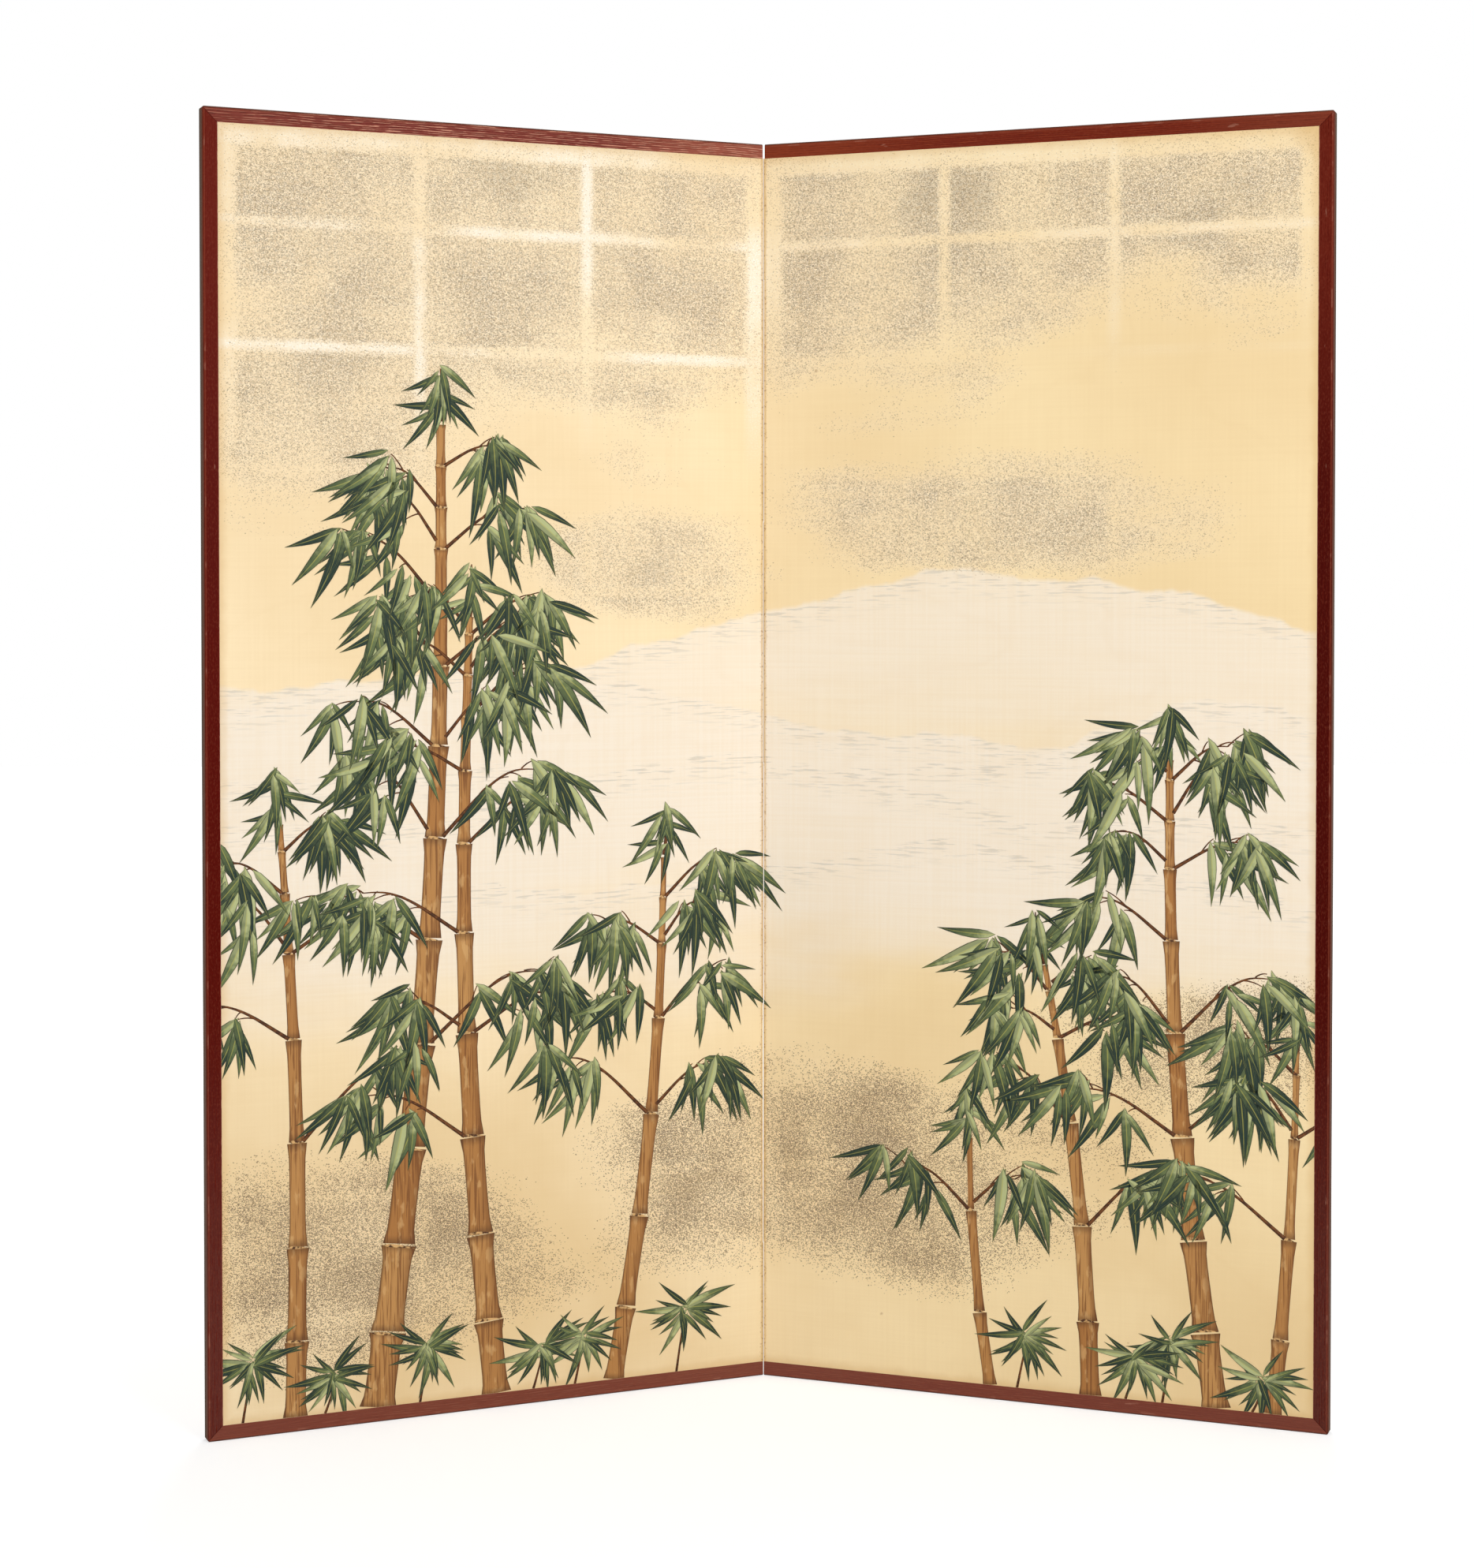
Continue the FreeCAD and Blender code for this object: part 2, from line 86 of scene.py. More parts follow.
# %% A short way to write shader nodes
class Graph:
    """Adds shader nodes to one tree. Most methods give back the socket that holds their result."""

    def __init__(self, tree):
        self.tree = tree

    def node(self, kind, inputs=None, **settings):
        node = self.tree.nodes.new("ShaderNode" + kind)
        for name, value in settings.items():
            setattr(node, name, value)
        for key, value in (inputs or {}).items():
            self.feed(node.inputs[key], value)
        return node

    def feed(self, socket, value):
        if isinstance(value, bpy.types.NodeSocket):
            self.tree.links.new(value, socket)
        else:
            socket.default_value = value

    def give(self, sockets, **values):
        """Feeds several sockets by their names, with _ for a space. Gives back the tree."""
        for name, value in values.items():
            self.feed(sockets[name.replace("_", " ")], value)
        return self.tree

    def use(self, group, **inputs):
        """Places a node group and gives back its outputs."""
        node = self.node("Group", node_tree=group)
        self.give(node.inputs, **inputs)
        return node.outputs

    def math(self, operation, *values):
        return self.node("Math", dict(enumerate(values)), operation=operation).outputs[0]

    def times(self, value, *others):
        for other in others:
            value = self.math("MULTIPLY", value, other)
        return value

    def plus(self, first, second):
        return self.math("ADD", first, second)

    def minus(self, first, second):
        return self.math("SUBTRACT", first, second)

    def off(self, value, middle):
        """How far a value is from a middle one, either way."""
        return self.math("ABSOLUTE", self.minus(value, middle))

    def most(self, first, second):
        return self.math("MAXIMUM", first, second)

    def least(self, first, second):
        return self.math("MINIMUM", first, second)

    def step(self, value, start, end):
        """0 at start and 1 at end, with a smooth ramp between; end may be the smaller one."""
        inputs = {"Value": value, "From Min": start, "From Max": end}
        return self.node("MapRange", inputs, interpolation_type="SMOOTHSTEP").outputs[0]

    def ramp(self, value, low, high):
        """Turns 0 to 1 into low to high."""
        return self.node("MapRange", {"Value": value, "To Min": low, "To Max": high}).outputs[0]

    def vector(self, operation, first, second):
        return self.node("VectorMath", {0: first, 1: second}, operation=operation).outputs[0]

    def stretch(self, place, *factors):
        return self.vector("MULTIPLY", place, factors)

    def point(self, x=0.0, y=0.0, z=0.0):
        return self.node("CombineXYZ", {0: x, 1: y, 2: z}).outputs[0]

    def axes(self, place):
        return self.node("SeparateXYZ", {0: place}).outputs

    def noise(self, place, scale, detail=2.0, distortion=0.0):
        inputs = {"Vector": place, "Scale": scale, "Detail": detail, "Distortion": distortion}
        return self.node("TexNoise", inputs).outputs[0]

    def patches(self, place, scale, detail, start, full):
        """Ragged patches: the levels of the noise at which they begin and are full."""
        return self.step(self.noise(place, scale, detail), start, full)

    def waver(self, place, scale, detail, reach):
        """Wanders between minus reach and reach."""
        return self.ramp(self.noise(place, scale, detail), -reach, reach)

    def mix(self, amount, first, second):
        return self.node("Mix", {0: amount, 6: first, 7: second}, data_type="RGBA").outputs[2]

    def coats(self, colour, *coats):
        """Lays coats over a colour, the lowest first: the tone, where it lies and how well it covers."""
        for tone, where, cover in coats:
            colour = self.mix(self.times(where, cover), colour, tone)
        return colour

    def bump(self, height, distance):
        return self.node("Bump", {"Height": height, "Distance": distance}).outputs[0]


print("ways to add to a shader:", ", ".join(name for name in vars(Graph) if not name.startswith("_")))


# %% Colours as a painter writes them
def srgb(red, green, blue):
    """A colour as it looks on a screen, 0 to 255, as the linear values that shaders take."""
    shares = [value / 255 for value in (red, green, blue)]
    return (*[s / 12.92 if s <= 0.04045 else ((s + 0.055) / 1.055) ** 2.4 for s in shares], 1.0)


print("a middle grey on the screen is", round(srgb(128, 128, 128)[0], 3), "in a shader")


# %% Materials and node groups
def new_group(name, numbers, results):
    """An empty node group that takes a place and numbers. Gives back its graph, inputs and outputs."""
    tree = bpy.data.node_groups.new(name, "ShaderNodeTree")
    tree.interface.new_socket(name="Place", in_out="INPUT", socket_type="NodeSocketVector")
    for direction, labels in (("INPUT", numbers), ("OUTPUT", results)):
        for label in labels:
            tree.interface.new_socket(name=label, in_out=direction, socket_type="NodeSocketFloat")
    return Graph(tree), tree.nodes.new("NodeGroupInput").outputs, tree.nodes.new("NodeGroupOutput").inputs


def new_material(name, **settings):
    """A material with one Principled BSDF, whose plain settings are named by their sockets."""
    material = bpy.data.materials.new(name)
    material.use_nodes = True
    graph = Graph(material.node_tree)
    surface = material.node_tree.nodes["Principled BSDF"].inputs
    graph.give(surface, **settings)
    return material, graph, surface


def object_place(graph):
    return graph.node("TexCoord").outputs["Object"]


def uv_place(graph, layer):
    return graph.node("UVMap", uv_map=layer).outputs[0]


def along_piece(graph, side, upright):
    """The axes of a panel, turned back to the flat, and a place whose X runs along a piece of it."""
    inputs = {"Vector": object_place(graph), "Location": fold_line, "Rotation": (0, 0, TURN[side])}
    axes = graph.axes(graph.node("Mapping", inputs, vector_type="TEXTURE").outputs[0])
    along, over = (axes[2], axes[0]) if upright else (axes[0], axes[2])
    return axes, graph.point(along, over, axes[1])


def dress(node, material):
    """Gives a piece of the construction its finish."""
    mesh = frame["nodes"][node].data
    mesh.materials.clear()
    mesh.materials.append(material)


print("the left panel is turned", round(math.degrees(TURN["left"]), 2), "degrees from the flat")

# %% [markdown]
# ## Effects that several finishes share
# Grain, paper fibres and the marks of age turn up on more than one material. They could be written out in
# each, but would drift apart. So each is a node group: it takes a place on the surface and gives back plain
# masks, and every material decides for itself what to do with them.

# %% The long grain of wood
GRAIN_BEND, GRAIN_WANDER = 0.006, 1.4
CHANGES_ALONG, DASHES_ALONG = 7, 52
# How far below each line its furrow lies, in turns of the wave. The furrow holds the painted shadow of the
# line, as if lit from above.
FURROW_SHIFT = 0.3


def make_grain():
    """Rows of raised lines along X, each with a furrow below it, broken into dashes as far as Break says. The
    furrow also holds the painted shadow that its line casts below it.
    """
    graph, given, made = new_group("Long grain", ("Lines per metre", "Break"),
                                   ("Lines", "Shaded furrows", "Pores", "Drift"))
    drift = graph.noise(graph.stretch(given["Place"], 1, 14, 14), 2.2, 3)
    bent = graph.vector("ADD", given["Place"], graph.point(y=graph.times(drift, GRAIN_BEND)))
    axes = graph.axes(bent)
    across, deep = [graph.times(axes[axis], given["Lines per metre"]) for axis in (1, 2)]
    long_place = graph.point(graph.times(axes[0], CHANGES_ALONG), across, deep)
    wander = graph.waver(graph.stretch(long_place, 1, 0.3, 0.3), 1.0, 3, GRAIN_WANDER)
    row = graph.plus(graph.plus(across, deep), wander)
    dashes = graph.patches(graph.point(graph.times(axes[0], DASHES_ALONG), row), 1.0, 2, 0.42, 0.56)
    kept = graph.math("MULTIPLY_ADD", dashes, given["Break"], graph.minus(1.0, given["Break"]))
    for label, shift in (("Lines", 0.0), ("Shaded furrows", FURROW_SHIFT)):
        turn = graph.times(graph.plus(row, shift), 2 * math.pi)
        wave = graph.math("MULTIPLY_ADD", graph.math("SINE", turn), 0.5, 0.5)
        graph.feed(made[label], graph.times(graph.step(wave, 0.5, 0.92), kept))
    pores = graph.patches(graph.stretch(long_place, 6, 1.4, 1.4), 1.0, 2, 0.6, 0.72)
    return graph.give(made, Pores=pores, Drift=drift)


GRAIN = make_grain()
print("nodes in the grain:", len(GRAIN.nodes))

# %% Paper fibres and the marks of age
FIBRE_SCALES = ((70, 0.0), (110, 7.3))
FIBRE_RELIEF = 0.00008
SPOT_CELLS, SPOTLESS_SHARE = 11.0, 0.72
SPOT_EDGE, SPOT_CORE = 0.035, 0.012


def make_fibres():
    """Thin wandering lines, where a bent noise passes its middle value, as fibres lie in handmade paper."""
    graph, given, made = new_group("Paper fibres", (), ("Fibres", "Clouds"))
    masks = []
    for scale, shift in FIBRE_SCALES:
        level = graph.noise(graph.vector("ADD", given["Place"], (shift, shift, shift)), scale, 1, 1.6)
        masks.append(graph.step(graph.off(level, 0.5), 0.012, 0.003))
    fibres = graph.times(graph.most(*masks), graph.patches(given["Place"], 45, 2, 0.5, 0.62))
    return graph.give(made, Fibres=fibres, Clouds=graph.noise(given["Place"], 9, 4))


def make_stains():
    """A few small round spots of age, far apart, and faint tide marks around wide clouds."""
    graph, given, made = new_group("Age stains", (), ("Spots", "Tides"))
    place = given["Place"]
    cells = graph.node("TexVoronoi", {"Vector": place, "Scale": SPOT_CELLS}).outputs
    few = graph.math("GREATER_THAN", graph.axes(cells["Color"])[0], SPOTLESS_SHARE)
    ragged = graph.plus(cells["Distance"], graph.waver(place, 160, 2, 0.03))
    tides = graph.step(graph.off(graph.noise(place, 2.6, 4, 0.8), 0.5), 0.03, 0.0)
    return graph.give(made, Spots=graph.times(graph.step(ragged, SPOT_EDGE, SPOT_CORE), few), Tides=tides)


FIBRES, STAINS = make_fibres(), make_stains()
print("shared effects:", [group.name for group in (GRAIN, FIBRES, STAINS)])

# %% [markdown]
# ## The lacquered frame
# The frame is open-grained wood under a thin wiped lacquer. Brushed lacquer pools in the pores and wears off
# the arrises first, the mitred corners open a hair as the wood shrinks, and the outer sides go over to a dark
# olive undercoat. A flat red would look like plastic, and a wrapped picture of wood wouldn't turn at the
# corners, so colour, gloss and relief all follow the grain along each member. Light is painted into the
# colour too: shade in the furrows of the grain, highlights on its lines and along the arrises, and the
# floor's reflection on the lower parts.

# %% The edges of a member
ROWS_ON_RAIL, ROWS_ON_SIDE = 370.0, 420.0
ARRIS_WIDTH, OUTER_EDGE, INNER_LINE, MITRE_LINE = 0.0014, 0.0012, 0.0011, 0.0008
BACK_ARRIS, BACK_ARRIS_CORE = 0.004, 0.001
FACE_WIDTH = side_high.x - picture_right
LACQUER_PORE_AND_SHADE, LACQUER_WORN, INNER_ARRIS_HIGHLIGHT = srgb(62, 10, 5), srgb(186, 134, 112), srgb(136, 64, 62)
MOTTLE_AND_ARRIS_HIGHLIGHT, SIDE_BROWN = srgb(136, 66, 46), srgb(104, 62, 48)
OLIVE_DARK, OLIVE_LIGHT = srgb(40, 36, 24), srgb(70, 60, 44)


def member_edges(graph, axes, member):
    """Masks of the outer arris, the inner arris, the open mitre and the outer sides."""
    to_side = graph.minus(side_high.x, graph.math("ABSOLUTE", axes[0]))
    to_foot, to_top = graph.minus(axes[2], side_low.z), graph.minus(side_high.z, axes[2])
    # How far in a point is from the member's own outer edge and from the other one at its corner.
    inward, other = {"frame_side": (to_side, graph.least(to_foot, to_top)),
                     "frame_top": (to_top, to_side), "frame_bottom": (to_foot, to_side)}[member]
    outer_arris = graph.step(graph.off(inward, OUTER_EDGE + ARRIS_WIDTH), ARRIS_WIDTH, 0)
    inner_arris = graph.step(inward, FACE_WIDTH - INNER_LINE, FACE_WIDTH - 0.3 * INNER_LINE)
    open_mitre = graph.step(graph.off(inward, other), MITRE_LINE, 0)
    outer_side = graph.step(graph.least(inward, other), OUTER_EDGE, 0.35 * OUTER_EDGE)
    return outer_arris, inner_arris, open_mitre, outer_side


def undercoat(graph, axes, furrow_shade_mask):
    """The outer sides are brown at the front and go over to dark olive at the back."""
    backward = graph.step(axes[1], side_low.y, side_high.y)
    back_arris = graph.step(axes[1], side_high.y - BACK_ARRIS, side_high.y - BACK_ARRIS_CORE)
    # The furrows carry painted shade on the outer sides as well.
    return graph.coats(SIDE_BROWN, (OLIVE_LIGHT, backward, 1.0), (OLIVE_DARK, furrow_shade_mask, 0.3),
                       (OLIVE_DARK, back_arris, 1.0))


print("the face of the frame is", round(FACE_WIDTH * 1000, 1), "mm wide")


# %% The lacquer of one member
def lacquer(side, member, tones, line_break, furrow_shade_amount, shine, relief, mitre_tone):
    """The lacquer of one member, with the light and the floor's reflection that it catches painted into its
    tones.
    The first end is the foot of an upright and the fold end of a rail.
    """
    material, graph, surface = new_material(f"lacquer {side} {member}", Coat_Weight=shine / 2,
                                            Coat_Roughness=0.25, Specular_IOR_Level=shine)
    between, lines_and_highlight, first_end_sheen, second_end_sheen = [srgb(*tone) for tone in tones]
    upright = member == "frame_side"
    axes, run = along_piece(graph, side, upright)
    rows = ROWS_ON_SIDE if upright else ROWS_ON_RAIL
    grain = graph.use(GRAIN, Place=run, Lines_per_metre=rows, Break=line_break)
    reached, whole = (axes[2], side_high.z) if upright else (graph.math("ABSOLUTE", axes[0]), side_high.x)
    share = graph.math("DIVIDE", reached, whole)
    lines = graph.times(grain["Lines"], graph.ramp(grain["Drift"], 0.35, 1.15))
    if not upright:
        # On a rail the lines, grain with a painted highlight on it, stand out more away from the corner.
        lines = graph.times(lines, graph.ramp(graph.step(share, 0.97, 0.6), 0.35, 1.0))
    outer_arris, inner_arris, open_mitre, outer_side = member_edges(graph, axes, member)
    mottled = graph.patches(graph.stretch(run, 0.5, 1, 1), 480, 2, 0.45, 0.75)
    scuffs = graph.patches(graph.stretch(run, 0.4, 1.6, 1), 60, 3, 0.70, 0.75)
    # The outer arris carries a painted highlight all along, and both arrises are rubbed to the pale undercoat
    # in short runs.
    rubbed_outside = graph.times(graph.patches(run, 34, 4, 0.56, 0.66), outer_arris)
    rubbed_inside = graph.times(graph.patches(run, 80, 3, 0.56, 0.62), inner_arris)
    colour = graph.coats(
        between,
        # Painted sheen towards each end, with the floor's reflection painted at the foot of an upright.
        (first_end_sheen, graph.step(share, 0.36, 0.06), 0.9),
        (second_end_sheen, graph.step(share, 0.68, 0.95), 0.9),
        # The grain lines, paler in their own right and with a painted highlight on their ridges.
        (lines_and_highlight, lines, 1.0),
        # Painted shade in the furrows below the raised grain lines, then pores dark with lacquer.
        (LACQUER_PORE_AND_SHADE, grain["Shaded furrows"], furrow_shade_amount),
        (LACQUER_PORE_AND_SHADE, grain["Pores"], 0.18),
        (MOTTLE_AND_ARRIS_HIGHLIGHT, mottled, 0.22),
        (LACQUER_WORN, scuffs, 0.3),
        # A painted highlight along the outer arris.
        (MOTTLE_AND_ARRIS_HIGHLIGHT, outer_arris, 0.5),
        (LACQUER_WORN, rubbed_outside, 0.25),
        # A painted highlight along the inner arris.
        (INNER_ARRIS_HIGHLIGHT, inner_arris, 0.7),
        (LACQUER_WORN, rubbed_inside, 0.6),
        (mitre_tone, open_mitre, 0.8),
        (undercoat(graph, axes, grain["Shaded furrows"]), outer_side, 1.0),
    )
    rough = graph.plus(graph.ramp(grain["Lines"], 0.34, 0.5), graph.times(outer_side, 0.2))
    height = graph.minus(grain["Lines"], grain["Shaded furrows"])
    graph.give(surface, Base_Color=colour, Roughness=rough, Normal=graph.bump(height, relief))
    return material


print("rows of grain over the face of an upright:", round(ROWS_ON_SIDE * FACE_WIDTH, 1))

# %% Each member's tones, with painted light and floor reflection
DEEP_MITRE, PALE_MITRE = srgb(60, 20, 14), srgb(190, 140, 110)
MEMBERS = {
    # Tones between the lines, on them, at the first end and at the second end, then how broken the lines
    # are, how dark the painted shade in the furrows, how strong the shine and how deep the relief, and the
    # tone of the mitre. All members share one lacquer: their tones differ by painted light and shade, and the
    # browner feet of the uprights and the pinkish bottom rails are painted reflection of the floor.
    ("left", "frame_side"): (((84, 11, 4), (92, 18, 8), (98, 50, 43), (104, 26, 12)),
                             0.8, 0.12, 0.02, 0.00003, DEEP_MITRE),
    ("right", "frame_side"): (((68, 6, 2), (80, 13, 5), (90, 46, 39), (104, 32, 19)),
                              0.8, 0.12, 0.02, 0.00003, DEEP_MITRE),
    ("left", "frame_top"): (((112, 30, 16), (232, 166, 138), (148, 74, 54), (116, 40, 26)),
                            0.9, 0.5, 0.06, 0.0002, DEEP_MITRE),
    ("right", "frame_top"): (((108, 32, 14), (132, 54, 30), (130, 52, 26), (120, 52, 35)),
                             0.8, 0.35, 0.03, 0.00006, PALE_MITRE),
    ("left", "frame_bottom"): (((122, 62, 46), (136, 78, 60), (124, 66, 50), (120, 60, 46)),
                               0.9, 0.12, 0.12, 0.00004, DEEP_MITRE),
    ("right", "frame_bottom"): (((118, 58, 44), (132, 74, 56), (120, 62, 48), (116, 58, 44)),
                                0.9, 0.12, 0.12, 0.00004, DEEP_MITRE),
}
for (side, member), finish in MEMBERS.items():
    dress(f"{side}_{member}", lacquer(side, member, *finish))
print("lacquered members:", len(MEMBERS))

# %% [markdown]
# ## What the panels hold inside
# The lattice is soft cedar, the lining and the hinges are layers of mulberry paper, and the frame is held by
# forged iron nails. Little of this shows on a whole screen, only edges at the fold and in the slits between
# the hinge leaves, but a repairer would see it all. One plain colour for the lot would be quicker, but then
# the parts couldn't be told apart, so each has its own finish from the shared effects.

# %% Cedar, paper and iron
CEDAR_PALE, CEDAR_LINE, CEDAR_WARM = srgb(222, 188, 140), srgb(186, 140, 92), srgb(206, 160, 116)
CEDAR_ROWS, CEDAR_RELIEF = 420.0, 0.0001
IRON_GREY, IRON_SCALE = srgb(112, 108, 104), srgb(76, 58, 48)
IRON_RELIEF = 0.0001


def cedar(side, upright):
    """Planed cedar, its grain along an upright or a lying piece."""
    material, graph, surface = new_material(f"cedar {side} {'up' if upright else 'along'}", Roughness=0.7)
    run = along_piece(graph, side, upright)[1]
    grain = graph.use(GRAIN, Place=run, Lines_per_metre=CEDAR_ROWS, Break=0.0)
    colour = graph.coats(CEDAR_PALE, (CEDAR_LINE, grain["Lines"], 0.7), (CEDAR_WARM, grain["Drift"], 0.4))
    graph.give(surface, Base_Color=colour, Normal=graph.bump(grain["Lines"], CEDAR_RELIEF))
    return material


def paper(name, ground, fibre, shade):
    """Layered paper with long fibres in it."""
    material, graph, surface = new_material(name, Roughness=0.85, Specular_IOR_Level=0.3)
    sheet = graph.use(FIBRES, Place=object_place(graph))
    colour = graph.coats(ground, (shade, graph.step(sheet["Clouds"], 0.35, 0.7), 1.0),
                         (fibre, sheet["Fibres"], 0.6))
    graph.give(surface, Base_Color=colour, Normal=graph.bump(sheet["Fibres"], FIBRE_RELIEF))
    return material


def forged_iron():
    """Grey iron with dull brown scale."""
    material, graph, surface = new_material("forged iron", Metallic=1.0)
    scale = graph.patches(object_place(graph), 420, 4, 0.4, 0.65)
    graph.give(surface, Base_Color=graph.mix(scale, IRON_GREY, IRON_SCALE),
               Roughness=graph.ramp(scale, 0.45, 0.75), Normal=graph.bump(scale, IRON_RELIEF))
    return material


print("cedar has a grain line every", round(1000 / CEDAR_ROWS, 1), "mm")

# %% Dressing the inside
lining = paper("lining paper", srgb(232, 220, 192), srgb(250, 244, 226), srgb(218, 202, 168))
hinge_paper = paper("hinge paper", srgb(214, 184, 128), srgb(238, 220, 176), srgb(190, 156, 102))
iron = forged_iron()
for side in TURN:
    inside = (
        (cedar(side, True), ("core_outer_stile", "core_fold_stile", "core_upright_ribs")),
        (cedar(side, False), ("core_top_rail", "core_bottom_rail", "core_cross_ribs")),
        (lining, ("front_lining", "back_lining")),
        (hinge_paper, ("front_hinge_flaps", "back_hinge_flaps")),
        (iron, ("frame_nails",)),
    )
    for material, pieces in inside:
        for piece in pieces:
            dress(f"{side}_{piece}", material)
for node in frame["nodes"]:
    if node.startswith("hinge_leaf"):
        dress(node, hinge_paper)
print("pieces dressed:", sum(bool(piece.data.materials) for piece in frame["nodes"].values()))

# %% [markdown]
# ## The silk
# Each panel carries one piece of silk, pasted down at its edges and drum-tight over the lining. It could be a
# flat face with a bump, but stretched cloth still shows the lattice below it, because it stands a hair proud
# over each rib and stile and sinks between them. So it is modelled as what it is, a thin stretched sheet, and
# a grid gives that relief somewhere to live.

# %% Where the lattice lies
RIB_MIDDLES = (0.262, 0.498)
RIB_HALF_WIDTH = 0.007
CROSS_PITCH, CROSS_HALF_WIDTH = 0.160, 0.006
FOLD_STILE_EDGE, OUTER_STILE_EDGE = 0.0264, 0.737
RAIL_INSET = 0.025


def over_lattice(point):
    """Whether a point of a sheet lies over a rib, a stile or a rail."""
    x, z = abs(point.x), point.z
    to_cross = abs((z - picture_middle) % CROSS_PITCH - CROSS_PITCH / 2)
    on_rib = min(abs(x - middle) for middle in RIB_MIDDLES) < RIB_HALF_WIDTH
    on_stile = x < FOLD_STILE_EDGE or x > OUTER_STILE_EDGE
    on_rail = min(z - picture_bottom, picture_top - z) < RAIL_INSET
    return on_rib or on_stile or on_rail or to_cross < CROSS_HALF_WIDTH


print("the fold stile lies behind the fold:", over_lattice(Vector((0.01, 0, picture_middle))))


# %% Selecting as by hand
def start_clean():
    """Deselects everything, because an operator acts on all that is selected."""
    if bpy.context.object and bpy.context.object.mode != "OBJECT":
        bpy.ops.object.mode_set(mode="OBJECT")
    bpy.ops.object.select_all(action="DESELECT")


def take(*pieces):
    """Selects these pieces alone and makes the first one active."""
    start_clean()
    for piece in pieces:
        piece.select_set(True)
    bpy.context.view_layer.objects.active = pieces[0]


def link(name, data):
    """A new object in the scene."""
    made = bpy.data.objects.new(name, data)
    bpy.context.scene.collection.objects.link(made)
    return made


start_clean()
print("pieces selected after a clean start:", len(bpy.context.selected_objects))


# %% A grid, its points and its thickness
def new_grid(name, low, high, columns, rows):
    """A flat grid that faces the front, between two corners given as X and Z."""
    start_clean()
    middle = ((low[0] + high[0]) / 2, 0, (low[1] + high[1]) / 2)
    bpy.ops.mesh.primitive_grid_add(x_subdivisions=columns, y_subdivisions=rows, size=1, location=middle,
                                    rotation=(math.pi / 2, 0, 0))
    made = bpy.context.object
    made.name = name
    made.scale = (high[0] - low[0], high[1] - low[1], 1)
    bpy.ops.object.transform_apply(location=True, rotation=True, scale=True)
    return made


def select_points(piece, wanted):
    """Selects, in edit mode, the points of a piece that pass a test of their place."""
    bpy.ops.object.mode_set(mode="EDIT")
    bpy.ops.mesh.select_mode(type="VERT")
    bpy.ops.mesh.select_all(action="DESELECT")
    bpy.ops.object.mode_set(mode="OBJECT")
    for vertex in piece.data.vertices:
        vertex.select = wanted(vertex.co)
    bpy.ops.object.mode_set(mode="EDIT")


def give_thickness(piece, thickness):
    """Turns a surface into a thin solid, inwards from its face."""
    modifier = piece.modifiers.new("solidify", "SOLIDIFY")
    modifier.thickness, modifier.offset = thickness, -1.0
    bpy.context.view_layer.objects.active = piece
    bpy.ops.object.modifier_apply(modifier=modifier.name)


print("the silk and its backing are", round((silk_high.y - silk_low.y) * 1000, 2), "mm thick")


# %% From the flat to the standing panel
def flat_uv(piece, name="flat"):
    """A UV map that holds each point's own X and Z in metres."""
    mesh = piece.data
    layer = mesh.uv_layers.get(name) or mesh.uv_layers.new(name=name)
    for loop in mesh.loops:
        place = mesh.vertices[loop.vertex_index].co
        layer.data[loop.index].uv = (place.x, place.z)


def stand_up(piece, side):
    """Carries a flat piece to its standing panel."""
    piece.data.transform(PLACE[side])
    piece.data.update()
    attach(piece, f"{side}_panel")


print("a top corner of the picture, standing:", [round(value, 3) for value in PLACE["right"] @ silk_high])

# %% Stretched sheets
CELL = 0.008
RELIEF = 0.00006
SHEET_SHARE = 0.9
SMOOTH_BELOW = math.radians(30)


def stretched_sheet(side, node, slot, facing):
    """A sheet over the lattice. facing is -1 for the front and 1 for the back."""
    low, high = flat_box(f"{side}_{node}")
    columns, rows = round((high.x - low.x) / CELL), round((high.z - low.z) / CELL)
    piece = new_grid(f"{side}_{slot}_sheet", (low.x, low.z), (high.x, high.z), columns, rows)
    select_points(piece, over_lattice)
    bpy.ops.transform.translate(value=(0, facing * RELIEF, 0))
    bpy.ops.object.mode_set(mode="OBJECT")
    if facing > 0:
        piece.data.flip_normals()
    give_thickness(piece, SHEET_SHARE * (high.y - low.y))
    outer_face = low.y + RELIEF if facing < 0 else high.y - RELIEF
    piece.data.transform(Matrix.Translation((0, outer_face, 0)))
    flat_uv(piece)
    bpy.ops.object.shade_smooth_by_angle(angle=SMOOTH_BELOW)
    stand_up(piece, side)
    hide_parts(f"{side}_{node}")
    return piece


silks = {side: stretched_sheet(side, "picture_silk", "picture_silk", -1) for side in TURN}
backs = {side: stretched_sheet(side, "back_paper", "back_paper", 1) for side in TURN}
print("faces in one silk:", len(silks["left"].data.polygons))

# %% [markdown]
# ## What is on the silk
# The ground is raw silk toned to a warm gold. Over it lie drifts of tiny metal flakes that were sprinkled
# from a bamboo tube onto wet size, dense in the middle of a drift and scattered at its edge, and which have
# since tarnished to grey. They could be modelled one by one, but there are a hundred thousand of them, so
# they are a shader. Each flake is one cell of a Voronoi texture, and a cell holds a flake when its random
# number is under the density there.

# %% Sprinkled flakes
FLAKE_LAYERS = ((560.0, 0.6), (820.0, -0.9))  # Cells a metre, and the turn of the flakes.
FLAKE_RADIUS, FLAKE_SHARE = 0.50, 0.70
TORN_LONG = 0.72


